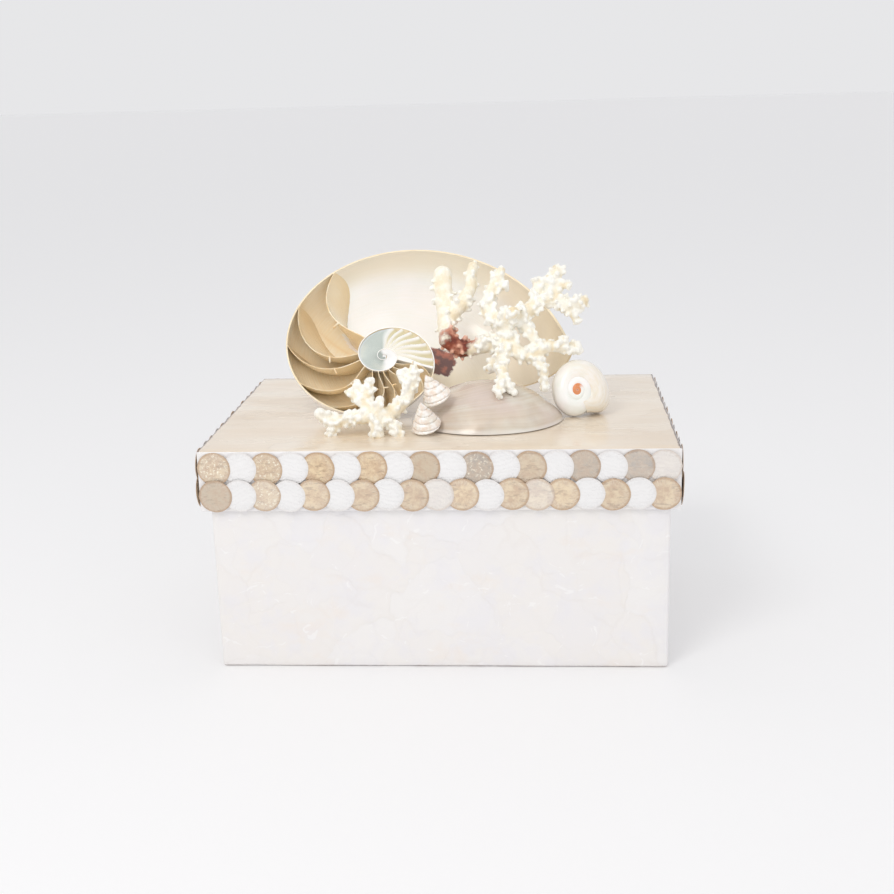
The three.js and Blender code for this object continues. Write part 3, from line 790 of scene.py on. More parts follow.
def add_nautilus_wall(store):
    """The coiled tube's wall, from the lip to its innermost end."""
    outer_turn = np.radians(np.arange(0, 360, LAST_WHORL_STEP))
    inner_turns = np.radians(np.arange(360, 360 * NAUTILUS_INWARD_TURNS, INNER_WHORL_STEP))
    angles = np.concatenate([outer_turn, inner_turns])
    section = np.linspace(0, 1, WALL_POINTS) ** WALL_POINT_EASE * NAUTILUS_SECTION_END
    ring = np.concatenate([section, section[::-1]])
    inset = np.repeat([0.0, 1.0], WALL_POINTS)
    outer = rim_radius(angles)[:, None]
    wall = wall_thickness(outer) * inset[None, :]
    reach = outer * (1 - NAUTILUS_INNER_EDGE) / 2 - wall
    radius = outer * (1 + NAUTILUS_INNER_EDGE) / 2 + np.cos(ring)[None, :] * reach
    depth = np.sin(ring)[None, :] * (outer * NAUTILUS_HALF_WIDTH - wall)
    angle = np.repeat(angles[:, None], len(ring), axis=1)
    points = in_shell(angle, radius, depth)
    length = (lip_radius - outer) / NAUTILUS_TIGHTENING
    spots = np.stack([np.repeat(length, len(ring), axis=1) / 0.1,
                      np.repeat(ring[None, :], len(angles), axis=0)], axis=2)
    starts = np.radians([s[0] for s in SEPTA] + list(COIL_RIBS))
    index = np.clip(np.searchsorted(starts, angles) - 1, 0, len(starts) - 2)
    into = np.clip((angles - starts[index]) / (starts[index + 1] - starts[index]), 0, 1)
    tones = np.zeros((*points.shape[:2], 3))
    # Darkest next to each septum: partly the chamber's own amber, partly painted shade in the corner
    # where septum and wall meet.
    tones[..., 0] = 0.30 + 0.70 * np.sin(np.pi * into[:, None] ** 0.8)
    tones[..., 1] = (np.cos(ring) * 0.5 + 0.5)[None, :]
    tones[..., 2] = np.clip(angle / (2 * np.pi) - 0.9, 0, 1)
    slots = np.full(points.shape[:2], OUTSIDE)
    slots[:, WALL_POINTS - 1] = RIM
    slots[:, -1] = RIM
    lining = angles[:, None] < np.radians(septum_foot(SEPTA[0], ring) + LINING_PAST_FOOT)[None, :]
    slots[:, WALL_POINTS:-1] = np.where(lining, PEARL, CHAMBER)[:, WALL_POINTS:-1]
    add_skin(store, points, spots, tones, slots, capped=(RIM, RIM))


def add_septum(store, start, bow, tail, sway):
    """One cupped wall between two chambers, from the rim to the whorl inside it."""
    along = np.linspace(0, 1, SEPTUM_ROWS)
    inward = np.linspace(0, 1, SEPTUM_COLUMNS)
    phi_out = along * NAUTILUS_SECTION_END
    phi_in = along * INNER_SECTION_END
    middle = (1 + NAUTILUS_INNER_EDGE) / 2
    half = (1 - NAUTILUS_INNER_EDGE) / 2
    out_ratio = middle + half * SEPTUM_FIT[0] * np.cos(phi_out)
    out_depth = NAUTILUS_HALF_WIDTH * SEPTUM_FIT[1] * np.sin(phi_out)
    in_ratio = turn_shrink * (middle + half * SEPTUM_FIT[0] * np.cos(phi_in))
    in_depth = turn_shrink * NAUTILUS_HALF_WIDTH * SEPTUM_FIT[1] * np.sin(phi_in)
    ratio = out_ratio[:, None] * (1 - inward) + in_ratio[:, None] * inward
    deep = out_depth[:, None] * (1 - inward) + in_depth[:, None] * inward
    angle = septum_angle(start, bow, tail, sway, ratio, deep)
    outer = rim_radius(angle)
    thickness = SEPTUM_THICKNESS[0] + SEPTUM_THICKNESS[1] * outer
    half_angle = thickness / 2 / np.maximum(ratio * outer, SEPTUM_LEAST_RADIUS)
    lift = np.zeros_like(angle)
    lift[0, :] = -SEPTUM_PROUD
    front = in_shell(angle - half_angle, ratio * outer, deep * outer + lift)
    back = in_shell(angle + half_angle, ratio * outer, deep * outer + lift)
    points = np.concatenate([front, back[:, ::-1]], axis=1)
    share = np.repeat(inward[None, :], SEPTUM_ROWS, axis=0)
    both = np.concatenate([share, share[:, ::-1]], axis=1)
    rise = np.repeat(along[:, None], 2 * SEPTUM_COLUMNS, axis=1)
    # Darker towards the outer wall: partly the septum's own amber, partly painted shade in the corner
    # where it meets the wall.
    tones = np.stack([np.concatenate([0.22 + 0.5 * share, np.full_like(share, 0.25)], axis=1),
                      1 - both, np.zeros_like(both)], axis=2)
    spots = np.stack([rise * 2 + start, both * 2], axis=2)
    slots = np.full(points.shape[:2], CHAMBER)
    add_skin(store, points, spots, tones, slots, capped=(LINE, CHAMBER))
    add_siphuncle(store, start, bow, tail)


def add_siphuncle(store, start, bow, tail):
    """The short tube that runs back through the middle of a septum, cut down its length."""
    angle = float(septum_angle(start, bow, tail, 0, np.array(SIPHUNCLE_AT), np.array(0.0)))
    outer = float(rim_radius(angle))
    bore = SIPHUNCLE_BORE[0] + SIPHUNCLE_BORE[1] * outer
    reach = SIPHUNCLE_LENGTH / SIPHUNCLE_AT
    shape = (SIPHUNCLE_STEPS, SIPHUNCLE_SIDES)
    turns = np.linspace(0, 2 * np.pi, SIPHUNCLE_SIDES, endpoint=False)
    steps = np.linspace(SIPHUNCLE_START, 1, SIPHUNCLE_STEPS)
    narrowing = 1 - SIPHUNCLE_TAPER * steps[:, None]
    radius = SIPHUNCLE_AT * outer + bore * np.cos(turns)[None, :] * narrowing
    depth = bore * (SIPHUNCLE_SUNK + np.sin(turns))[None, :] * np.ones((SIPHUNCLE_STEPS, 1))
    angles = np.repeat((angle + reach * steps)[:, None], SIPHUNCLE_SIDES, axis=1)
    points = in_shell(angles, radius, depth)
    spots = np.zeros((*shape, 2))
    tones = np.full((*shape, 3), 0.5)
    add_skin(store, points, spots, tones, np.full(shape, LINE), capped=(LINE, LINE))


def add_coil_face(store):
    """The innermost coil's filled face: ribs and grooves first, then a smooth crescent."""
    angles = np.radians(np.arange(COIL_START, 360 * NAUTILUS_INWARD_TURNS, COIL_STEP))
    across = np.linspace(0, 1, COIL_POINTS)
    ribs = np.radians(COIL_RIBS)
    outer = rim_radius(angles)[:, None]
    top = outer * FACE_OUTER - wall_thickness(outer) / 2
    low = rim_radius(angles + 2 * np.pi)[:, None] * FACE_INNER
    radius = top * (1 - across) + low * across
    wander = RIB_WANDER * np.sin(RIB_WAVES[0] * across[None, :] + RIB_WAVES[1] * angles[:, None])
    shifted = angles[:, None] - RIB_LEAN * across[None, :] ** RIB_CURVE + wander
    index = np.clip(np.searchsorted(ribs, shifted) - 1, 0, len(ribs) - 2)
    into = np.clip((shifted - ribs[index]) / (ribs[index + 1] - ribs[index]), 0, 1)
    ribbed = np.clip((np.radians(COIL_SMOOTH_FROM) - shifted) / RIB_FADE, 0, 1)
    groove = np.sin(np.pi * into ** GROOVE_SKEW) ** GROOVE_SHARPNESS * ribbed
    groove = groove * (1 - across[None, :] * GROOVE_FADE)
    crown = np.sin(np.pi * across)[None, :] * (1 - ribbed)
    crescent = CRESCENT_DEPTH * (1 - ribbed) - CRESCENT_RISE * crown
    depth = outer * (FACE_DEPTH + GROOVE_DEPTH * groove + crescent)
    lower = depth + FACE_BACKING * (outer / rim_radius(2 * np.pi)) + FACE_THICKNESS * outer
    angle = np.repeat(angles[:, None], COIL_POINTS, axis=1)
    front = in_shell(angle, radius, depth)
    back = in_shell(angle, radius, lower)
    points = np.concatenate([front, back[:, ::-1]], axis=1)
    tones = np.zeros((*points.shape[:2], 3))
    forwards, backwards = slice(None), slice(None, None, -1)
    for half, order in ((slice(COIL_POINTS), forwards), (slice(COIL_POINTS, None), backwards)):
        tones[:, half, 0] = groove[:, order]
        tones[:, half, 1] = np.repeat(across[None, :], len(angles), axis=0)[:, order]
        tones[:, half, 2] = (1 - ribbed)[:, order]
    spots = np.zeros((*points.shape[:2], 2))
    spots[..., 0] = angles[:, None]
    spots[..., 1] = np.concatenate([across, across[::-1]])[None, :]
    slots = np.full(points.shape[:2], COIL)
    add_skin(store, points, spots, tones, slots, capped=(COIL, COIL))


def nacre_group():
    """Mother-of-pearl tint: slow drifts of pink and green."""
    tree, given, result = start_group("nacre drift", {"Size": 30.0}, {"Pink": "Float", "Green": "Float"})
    place = object_place(tree)
    pink = put(tree, "TexNoise", {"Vector": place, "Scale": given["Size"], "Detail": 2.0}).outputs["Fac"]
    moved = put(tree, "VectorMath", {0: place, 1: (0.4, 0.9, 0.2)}, operation="ADD").outputs[0]
    green = put(tree, "TexNoise", {"Vector": moved, "Scale": times(tree, given["Size"], 1.3),
                                   "Detail": 2.0}).outputs["Fac"]
    tree.links.new(fit(tree, pink, 0.42, 0.66), result.inputs["Pink"])
    tree.links.new(fit(tree, green, 0.45, 0.68), result.inputs["Green"])
    return tree


NACRE_DRIFT = nacre_group()


def skin_parts(tree):
    """The mesh's tones and UV map, split into values."""
    tone = put(tree, "Attribute", attribute_name="tone")
    tones = put(tree, "SeparateColor", {"Color": tone.outputs["Color"]}).outputs
    spot = put(tree, "SeparateXYZ", {"Vector": put(tree, "UVMap", uv_map="skin").outputs[0]}).outputs
    return tones, spot


def nautilus_outside():
    """The shell's polished back: pearl with faint growth lines."""
    material, tree, shader = start_material("nautilus outside", 0.24, 0.5)
    _, spot = skin_parts(tree)
    drift = put(tree, "Group", {"Size": 26.0}, node_tree=NACRE_DRIFT).outputs
    growth = put(tree, "CombineXYZ", {0: times(tree, spot[0], 60.0), 1: spot[1]}).outputs[0]
    lines = fit(tree, speckle(tree, growth, 1.0, 3.0, 0.6), 0.35, 0.65)
    colour = tint(tree, PEARL_WHITE, lines, 0.35, PEARL_CREAM)
    colour = tint(tree, colour, drift["Pink"], 0.5, PEARL_PINK)
    colour = tint(tree, colour, drift["Green"], 0.3, PEARL_GREEN)
    tree.links.new(colour, shader.inputs["Base Color"])
    bump(tree, shader, lines, 0.05 * MM)
    return material


def nautilus_rim():
    """The sawn edge of the wall: pale orange outside, white round the coil."""
    material, tree, shader = start_material("nautilus cut rim", 0.3, 0.3)
    place = object_place(tree)
    cloud = fit(tree, speckle(tree, place, 120.0, 3.0), 0.3, 0.7)
    tones, _ = skin_parts(tree)
    edge = mix(tree, cloud, RIM_ORANGE, SHELL_TAN)
    colour = mix(tree, fit(tree, tones[2], 0.02, 0.06), edge, PEARL_WHITE)
    tree.links.new(colour, shader.inputs["Base Color"])
    return material


def nautilus_pearl():
    """The body chamber's lining: bright pearl in the middle, tan towards the rim, and a dark maroon
    patch beside the coil that is partly stain and partly painted shade.
    """
    material, tree, shader = start_material("nautilus pearl lining", 0.2, 0.6)
    tones, spot = skin_parts(tree)
    drift = put(tree, "Group", {"Size": 24.0}, node_tree=NACRE_DRIFT).outputs
    streak = put(tree, "CombineXYZ", {0: times(tree, spot[0], 5.0),
                                      1: times(tree, spot[1], 30.0)}).outputs[0]
    lines = fit(tree, speckle(tree, streak, 1.0, 4.0, 0.6), 0.35, 0.65)
    colour = tint(tree, PEARL_WHITE, drift["Pink"], 0.7, PEARL_PINK)
    colour = tint(tree, colour, drift["Green"], 0.3, PEARL_GREEN)
    colour = tint(tree, colour, lines, 0.14, PEARL_CREAM)
    tan = fit(tree, tones[1], 0.86, 0.995)
    colour = tint(tree, colour, tan, 0.6, SHELL_TAN)
    late = fit(tree, spot[0], 0.0, 0.9, 1.0, 0.0)
    colour = tint(tree, colour, late, 0.7, SHELL_TAN)
    # The maroon patch is partly red-brown stain and partly painted shade of the hollow under the coil's
    # edge.
    place = object_place(tree)
    ends = {0: place, 1: LINING_STAIN_AND_SHADE_PLACE}
    gap = put(tree, "VectorMath", ends, operation="DISTANCE").outputs["Value"]
    ragged = plus(tree, gap, times(tree, speckle(tree, place, 170.0, 4.0, 0.6), -10.0 * MM))
    stain = fit(tree, ragged, LINING_STAIN_AND_SHADE_REACH - 6.2 * MM, LINING_STAIN_AND_SHADE_REACH - 4.6 * MM, 1.0, 0.0)
    maroon_and_shade = mix(tree, fit(tree, speckle(tree, place, 200.0, 3.0), 0.45, 0.7), STAIN_DARK, STAIN_RED)
    colour = tint(tree, colour, stain, 0.95, maroon_and_shade)
    tree.links.new(colour, shader.inputs["Base Color"])
    bump(tree, shader, lines, 0.04 * MM)
    return material


def nautilus_chamber():
    """Chamber walls and septa: dark amber beside each septum, partly the shell's own colour and partly
    painted shade in the corners where septum and wall meet, fading to pale tan.
    """
    material, tree, shader = start_material("nautilus chambers", 0.27, 0.45)
    tones, spot = skin_parts(tree)
    place = object_place(tree)
    fade = fit(tree, tones[0], 0.0, 0.55)
    grain = put(tree, "CombineXYZ", {0: times(tree, spot[0], 3.0),
                                     1: times(tree, spot[1], 16.0)}).outputs[0]
    lines = fit(tree, speckle(tree, grain, 1.6, 4.0, 0.65), 0.33, 0.67)
    cloud = fit(tree, speckle(tree, place, 70.0, 3.0), 0.3, 0.7)
    # The amber is partly the shell's own colour and partly painted shade beside each septum.
    colour = mix(tree, fade, SHELL_AMBER_AND_SHADE, SHELL_TAN)
    colour = tint(tree, colour, fit(tree, tones[0], 0.35, 1.0), 0.65, SHELL_LIGHT)
    colour = tint(tree, colour, lines, 0.35, SHELL_GOLD)
    colour = tint(tree, colour, cloud, 0.25, SHELL_LIGHT)
    tree.links.new(colour, shader.inputs["Base Color"])
    bump(tree, shader, plus(tree, lines, cloud), 0.08 * MM)
    return material


def nautilus_line():
    """The sawn edges of the septa and the siphuncle's tube: fine golden lines."""
    material, tree, shader = start_material("nautilus septum edge", 0.2, 0.5)
    place = object_place(tree)
    cloud = fit(tree, speckle(tree, place, 260.0, 3.0), 0.35, 0.65)
    tree.links.new(mix(tree, cloud, LINE_GOLD, LINE_PALE), shader.inputs["Base Color"])
    return material


def nautilus_coil():
    """The coil's face: white ribs, olive grooves, and a blue-green crescent with fine stripes."""
    material, tree, shader = start_material("nautilus coil", 0.2, 0.6)
    tones, spot = skin_parts(tree)
    drift = put(tree, "Group", {"Size": 90.0}, node_tree=NACRE_DRIFT).outputs
    groove = fit(tree, tones[0], 0.18, 0.75)
    colour = mix(tree, groove, PEARL_WHITE, COIL_OLIVE)
    colour = tint(tree, colour, fit(tree, tones[1], 0.2, 0.95), 0.45, SHELL_LIGHT)
    stripes = calc(tree, "SINE", times(tree, spot[0], 150.0))
    blue = mix(tree, fit(tree, stripes, -1.0, 1.0, 0.0, 0.45), COIL_BLUE, PEARL_GREEN)
    blue = tint(tree, blue, drift["Pink"], 0.3, SHELL_LIGHT)
    outer_edge = fit(tree, tones[1], 0.02, 0.14, 1.0, 0.0)
    blue = tint(tree, blue, outer_edge, 0.7, COIL_EDGE)
    colour = mix(tree, tones[2], colour, blue)
    centre = fit(tree, spot[0], 10.7, 11.3)
    colour = mix(tree, centre, colour, PEARL_WHITE)
    colour = mix(tree, fit(tree, spot[0], 14.2, 15.0), colour, COIL_BLUE)
    tree.links.new(colour, shader.inputs["Base Color"])
    bump(tree, shader, stripes, 0.02 * MM)
    return material


nautilus_store = new_store()
add_nautilus_wall(nautilus_store)
for septum in SEPTA:
    add_septum(nautilus_store, *septum)
add_coil_face(nautilus_store)
nautilus_materials = [
    nautilus_outside(), nautilus_rim(), nautilus_pearl(),
    nautilus_chamber(), nautilus_line(), nautilus_coil()]
nautilus = finish_skin("nautilus", nautilus_store, nautilus_materials)
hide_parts("nautilus_half")
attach(nautilus, "root")


# The two corals: knobbly white branches glued to the lid, one inside the nautilus's mouth and
# along the lid, one across the front of the coil. Each is round knobs fused into one skin.
CORAL_CORE = 0.86
CORE_SPREAD = (0.93, 1.05)
CORAL_STEP = 0.9 * MM
KNOBS_PER_STEP = 2.4
KNOBS_AT_TIP = 5
TIP_KNOB_SPREAD = 0.55
TIP_KNOB_SET_BACK = 0.6
TIP_KNOB_REACH = 1.1
KNOB_LEAN = (-0.1, 0.75)
KNOB_SIZES = (0.9 * MM, 1.45 * MM)
KNOB_REACH_SPREAD = (0.92, 1.16)
KNOB_SUNK = 0.3
# The balls along a knob, as shares of its reach, and how a ball's size falls along it.
KNOB_BALLS = (0.45, 0.65, 0.85, 1.0)
KNOB_FOOT = 1.12
KNOB_TAPER = 0.22
CORAL_KNOB_REACH = 1.2
CORAL_KNOB_STEP = 1.25 * MM
CORAL_VOXEL = 0.5 * MM
CORAL_TIP_TRIM = 0.6 * MM
CORAL_BATCH = 4000
LARGE_STAIN_REACH = 15 * MM
CORAL_BRIGHT = (0.97, 0.955, 0.89, 1)
CORAL_CREAM = (0.96, 0.92, 0.80, 1)
CORAL_TAN = (0.86, 0.72, 0.48, 1)
# Pink on the knob tips of the stained foot: partly the coral's own paler tips, partly a painted
# highlight.
STAIN_PINK_AND_HIGHLIGHT = (0.88, 0.50, 0.36, 1)
STAIN_MIDDLE = (5 * MM, -0.5 * MM, 32.5 * MM)
# Each branch: how knobbly it is, the thicknesses at its ends, then its points above the lid, in mm.
LARGE_CORAL = (
    (0.35, 5.4, 4.4, (-2, 20, 63.4), (-1, 13, 52.4), (0, 6, 43.4), (1, -2, 35.4), (8, 1, 30.4)),
    (1.0, 4.4, 3.6, (8, 1, 30.4), (19, -5, 33.4), (29, -10, 38.4), (29, -11, 47.4), (37, -9, 49.4),
     (44, -6, 53.4), (51, -5, 56.4), (53, 0, 67.4)),
    (1.0, 4.2, 2.8, (29, -11, 47.4), (22, -5, 46.4), (20, -2, 53.4), (23, 1, 60.4), (27, 4, 67.4)),
    (1.0, 3.4, 2.4, (44, -6, 53.4), (44, -3, 63.4)),
    (1.0, 4.0, 3.4, (51, -5, 56.4), (58, -8, 52.4), (65, -8, 54.4)),
    (1.0, 4.2, 2.8, (29, -10, 38.4), (35, -14, 31.4), (41, -15, 30.4), (49, -13, 34.4), (62, -8, 32.4)),
    (1.0, 3.0, 2.0, (41, -15, 30.4), (47, -18, 24.4), (47, -22, 16.4)),
    (1.0, 4.4, 2.0, (29, -10, 38.4), (28, -18, 29.4), (28, -29, 23.4), (26, -37, 17.2)),
    (1.0, 3.0, 2.8, (37, -9, 49.4), (39, -10, 42.4), (45, -13, 34.4)),
    (0.5, 4.4, 3.0, (0, 6, 43.4), (8, 8, 51.4), (12, 12, 58.4), (13, 18, 68.4)),
    (1.0, 2.4, 1.8, (23, 1, 60.4), (29, 0, 60.9)),
    (1.0, 2.6, 2.0, (51, -5, 56.4), (49, -4, 64.4)),
    (1.0, 2.6, 1.8, (52, -3, 61.4), (58.5, -4, 61.4)),
    (1.0, 2.8, 2.0, (58, -8, 52.4), (62.5, -9, 45.4)),
    (1.0, 4.4, 3.4, (29, -11, 47.4), (33, -16, 51.4)),
    (1.0, 2.4, 1.8, (56, -11, 32.4), (56, -12, 37.9)),
    (1.0, 2.4, 1.6, (28, -29, 23.4), (33, -32, 17.2)),
    (1.0, 3.0, 2.0, (28, -14, 33.4), (21, -15, 24.4)),
)
SMALL_CORAL = (
    (1.0, 3.2, 3.6, (-54, -46, 11.4), (-48, -46, 7.4), (-40, -46, 9.4), (-29, -47, 10.4),
     (-20, -43, 12.4), (-15, -39, 17.4), (-14, -37, 24.4), (-12, -36, 28.4)),
    (1.0, 2.6, 3.6, (-27, -47, 17.4), (-29, -47, 10.4), (-28, -51, 2.1)),
    (1.0, 3.0, 2.4, (-24, -46, 10.4), (-18, -49, 2.4)),
    (1.0, 2.6, 2.0, (-46, -46, 8.4), (-50, -48, 2.2)),
    (1.0, 3.4, 1.8, (-31, -46, 11.4), (-35, -43, 16.4), (-42, -42, 20.4)),
    (1.0, 3.0, 1.8, (-35, -43, 16.4), (-32, -42, 20.4), (-32, -41, 25.4)),
    (1.0, 2.4, 1.6, (-33, -42, 19.4), (-38, -41, 24.4)),
    (1.0, 2.2, 1.6, (-14, -38, 22.4), (-18, -37, 28.4)),
)


def coral_path(points, thick, thin):
    """Even steps along a branch: places, directions and thicknesses."""
    corners = [Vector(p) * MM for p in points]
    lengths = [(b - a).length for a, b in zip(corners, corners[1:])]
    total = sum(lengths)
    count = max(2, round(total / CORAL_STEP))
    steps = []
    for i in range(count + 1):
        along = total * i / count
        k = 0
        while k < len(lengths) - 1 and along > lengths[k]:
            along -= lengths[k]
            k += 1
        direction = (corners[k + 1] - corners[k]).normalized()
        share = i / count
        radius = (thick * (1 - share) + thin * share) * MM
        steps.append((corners[k] + direction * along, direction, radius))
    return steps, total


def coral_balls(branches, chance):
    """The balls that make up a coral: its branches, and the stubby knobs all round them."""
    balls = []
    axis = []
    for knobbly, thick, thin, *points in branches:
        steps, total = coral_path(points, thick, thin)
        for place, direction, radius in steps:
            core = radius * CORAL_CORE * chance.uniform(*CORE_SPREAD)
            balls.append((place - direction * min(core, CORAL_TIP_TRIM), core))
            axis.append((place, radius, knobbly))
        knobs = round(total / CORAL_KNOB_STEP * KNOBS_PER_STEP * knobbly)
        for _ in range(knobs):
            place, direction, radius = steps[chance.randrange(len(steps))]
            side = Vector([chance.gauss(0, 1) for _ in range(3)]).cross(direction).normalized()
            way = (side + direction * chance.uniform(*KNOB_LEAN)).normalized()
            add_knob(balls, chance, place, way, radius)
        place, direction, radius = steps[-1]
        for _ in range(round(KNOBS_AT_TIP * knobbly)):
            spread = Vector([chance.gauss(0, TIP_KNOB_SPREAD) for _ in range(3)])
            way = (direction + spread).normalized()
            foot = place - direction * radius * TIP_KNOB_SET_BACK
            add_knob(balls, chance, foot, way, radius * TIP_KNOB_REACH)
    return balls, axis


def add_knob(balls, chance, place, way, radius):
    """One stubby knob, rounded at its end and a little thinner there."""
    size = chance.uniform(*KNOB_SIZES)
    reach = radius * CORAL_KNOB_REACH * chance.uniform(*KNOB_REACH_SPREAD) - size * KNOB_SUNK
    for share in KNOB_BALLS:
        balls.append((place + way * reach * share, size * (KNOB_FOOT - KNOB_TAPER * share)))


def coral_material():
    """Matt white, cream to tan between the knobs, with tiny pits and a red-brown stained foot."""
    material, tree, shader = start_material("coral", 0.62, 0.0)
    tone = put(tree, "Attribute", attribute_name="tone")
    tones = put(tree, "SeparateColor", {"Color": tone.outputs["Color"]}).outputs
    place = object_place(tree)
    cloud = fit(tree, speckle(tree, place, 170.0, 3.0, 0.6), 0.3, 0.7)
    cells = put(tree, "TexVoronoi", {"Vector": place, "Scale": 900.0}).outputs["Distance"]
    pits = fit(tree, cells, 0.15, 0.5)
    deep = plus(tree, tones[0], times(tree, calc(tree, "SUBTRACT", cloud, 0.5), 0.22))
    out = fit(tree, deep, 0.55, 0.95)
    colour = mix(tree, out, CORAL_TAN, CORAL_CREAM)
    colour = mix(tree, fit(tree, deep, 0.80, 1.15), colour, CORAL_BRIGHT)
    stain = fit(tree, plus(tree, tones[1], times(tree, cloud, 0.35)), 0.42, 0.70)
    red = mix(tree, cloud, STAIN_DARK, STAIN_RED)
    # Pink on the outermost knob tips of the stain: partly the coral's own colour, partly a painted
    # highlight.
    red = tint(tree, red, fit(tree, deep, 0.80, 1.08), 0.9, STAIN_PINK_AND_HIGHLIGHT)
    colour = mix(tree, stain, colour, red)
    tree.links.new(colour, shader.inputs["Base Color"])
    bump(tree, shader, plus(tree, pits, times(tree, cloud, 0.8)), 0.12 * MM)
    return material


CORAL_MATERIAL = coral_material()


def add_coral(name, branches, node, seed, stain_reach):
    """A coral as one skin, lifted so that it rests where its solid does."""
    balls, axis = coral_balls(branches, random.Random(seed))
    ball = bmesh.new()
    bmesh.ops.create_icosphere(ball, subdivisions=2, radius=1)
    shape = np.array([v.co[:] for v in ball.verts])
    sides = np.array([[v.index for v in face.verts] for face in ball.faces])
    ball.free()
    places = np.array([b[0] for b in balls])
    sizes = np.array([b[1] for b in balls])
    points = (places[:, None] + shape[None] * sizes[:, None, None]).reshape(-1, 3)
    faces = (sides[None] + (np.arange(len(balls)) * len(shape))[:, None, None]).reshape(-1, 3)
    mesh = bpy.data.meshes.new(name)
    mesh.from_pydata(points.tolist(), [], faces.tolist())
    piece = bpy.data.objects.new(name, mesh)
    bpy.context.scene.collection.objects.link(piece)
    fuse = piece.modifiers.new("fuse", "REMESH")
    fuse.mode = "VOXEL"
    fuse.voxel_size = CORAL_VOXEL
    soften = piece.modifiers.new("soften", "SMOOTH")
    soften.factor = 0.5
    soften.iterations = 2
    apply_modifiers(piece)
    mesh = piece.data
    drop_loose_bits(piece)
    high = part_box(node)[1]
    skin = np.zeros(len(mesh.vertices) * 3)
    mesh.vertices.foreach_get("co", skin)
    skin = skin.reshape(-1, 3)
    centres = np.array([a[0] for a in axis])
    radii = np.array([a[1] for a in axis])
    out = np.zeros(len(skin))
    for start in range(0, len(skin), CORAL_BATCH):
        batch = slice(start, start + CORAL_BATCH)
        gap = np.linalg.norm(skin[batch, None] - centres[None], axis=2) / radii
        out[batch] = gap.min(axis=1)
    stain = 0
    if stain_reach:
        stain = np.clip(1 - np.linalg.norm(skin - np.array(STAIN_MIDDLE), axis=1) / stain_reach, 0, 1)
    tone = mesh.color_attributes.new("tone", "FLOAT_COLOR", "POINT")
    tones = np.ones((len(skin), 4), np.float32)
    tones[:, 0] = out
    tones[:, 1] = stain
    tone.data.foreach_set("color", tones.ravel())
    skin[:, 2] += high.z - skin[:, 2].max()
    mesh.vertices.foreach_set("co", skin.ravel())
    mesh.materials.append(CORAL_MATERIAL)
    mesh.update()
    for face in mesh.polygons:
        face.use_smooth = True
    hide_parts(node)
    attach(piece, "root")


def drop_loose_bits(piece):
    """Keeps only the largest connected skin of a mesh."""
    mesh = bmesh.new()
    mesh.from_mesh(piece.data)
    seen = set()
    groups = []
    for first in mesh.verts:
        if first in seen:
            continue
        group = [first]
        seen.add(first)
        for vertex in group:
            for edge in vertex.link_edges:
                other = edge.other_vert(vertex)
                if other not in seen:
                    seen.add(other)
                    group.append(other)
        groups.append(group)
    groups.sort(key=len)
    for group in groups[:-1]:
        bmesh.ops.delete(mesh, geom=group, context="VERTS")
    mesh.to_mesh(piece.data)
    mesh.free()


add_coral("large_coral", LARGE_CORAL, "coral_large", 11, LARGE_STAIN_REACH)
add_coral("small_coral", SMALL_CORAL, "coral_small", 23, 0)


# The flat pearly valve lying dome up beside the nautilus: polished nacre with growth lines that
# follow its edge, glued to the lid along its rim.
VALVE_SIZE = (72 * MM, 62 * MM, 18 * MM)
VALVE_MIDDLE = (20 * MM, -20 * MM)
VALVE_DOME = 1.6
VALVE_ROWS = 44
VALVE_COLUMNS = 120
VALVE_RIPPLE = 0.16 * MM
VALVE_RIPPLES = 26
VALVE_SINK = 0.012
# The rim's waves: each one's height as a share of the radius, its count and where it starts.
VALVE_WAVES = ((0.006, 3, 0.6), (0.004, 7, 2.1))
VALVE_EDGE = 1.2 * MM
VALVE_BEAK = (-0.62, 0.45)
VALVE_TAN = (0.58, 0.44, 0.30, 1)
VALVE_GREY = (0.62, 0.55, 0.48, 1)
VALVE_PINK = (0.70, 0.58, 0.53, 1)
VALVE_PALE = (0.74, 0.64, 0.53, 1)


def valve_material():
    """Grey and pink nacre, with tan growth lines and a paler edge."""
    material, tree, shader = start_material("pearl valve", 0.2, 0.6)
    tones, _ = skin_parts(tree)
    place = object_place(tree)
    drift = put(tree, "Group", {"Size": 45.0}, node_tree=NACRE_DRIFT).outputs
    wander = times(tree, speckle(tree, place, 28.0, 2.0), 0.10)
    ring = plus(tree, tones[0], wander)
    rings = put(tree, "CombineXYZ", {0: times(tree, ring, 34.0)}).outputs[0]
    growth = fit(tree, speckle(tree, rings, 1.0, 4.0, 0.6), 0.35, 0.65)
    cloud = fit(tree, speckle(tree, place, 60.0, 4.0, 0.6), 0.3, 0.7)
    colour = mix(tree, cloud, VALVE_GREY, VALVE_PALE)
    colour = tint(tree, colour, growth, 0.55, VALVE_TAN)
    colour = tint(tree, colour, drift["Pink"], 0.6, VALVE_PINK)
    colour = tint(tree, colour, drift["Green"], 0.3, PEARL_GREEN)
    rim = fit(tree, tones[1], 0.965, 0.995)
    colour = tint(tree, colour, rim, 0.35, PEARL_WHITE)
    tree.links.new(colour, shader.inputs["Base Color"])
    bump(tree, shader, plus(tree, growth, times(tree, cloud, 0.6)), 0.10 * MM)
    return material


def growth_line(x, y):
    """The growth line through a spot of the round valve: circles nested towards its beak."""
    beak_x, beak_y = VALVE_BEAK
    a = 1 - beak_x ** 2 - beak_y ** 2
    b = (x - beak_x) * beak_x + (y - beak_y) * beak_y
    c = (x - beak_x) ** 2 + (y - beak_y) ** 2
    return (b + np.sqrt(b * b + a * c)) / a


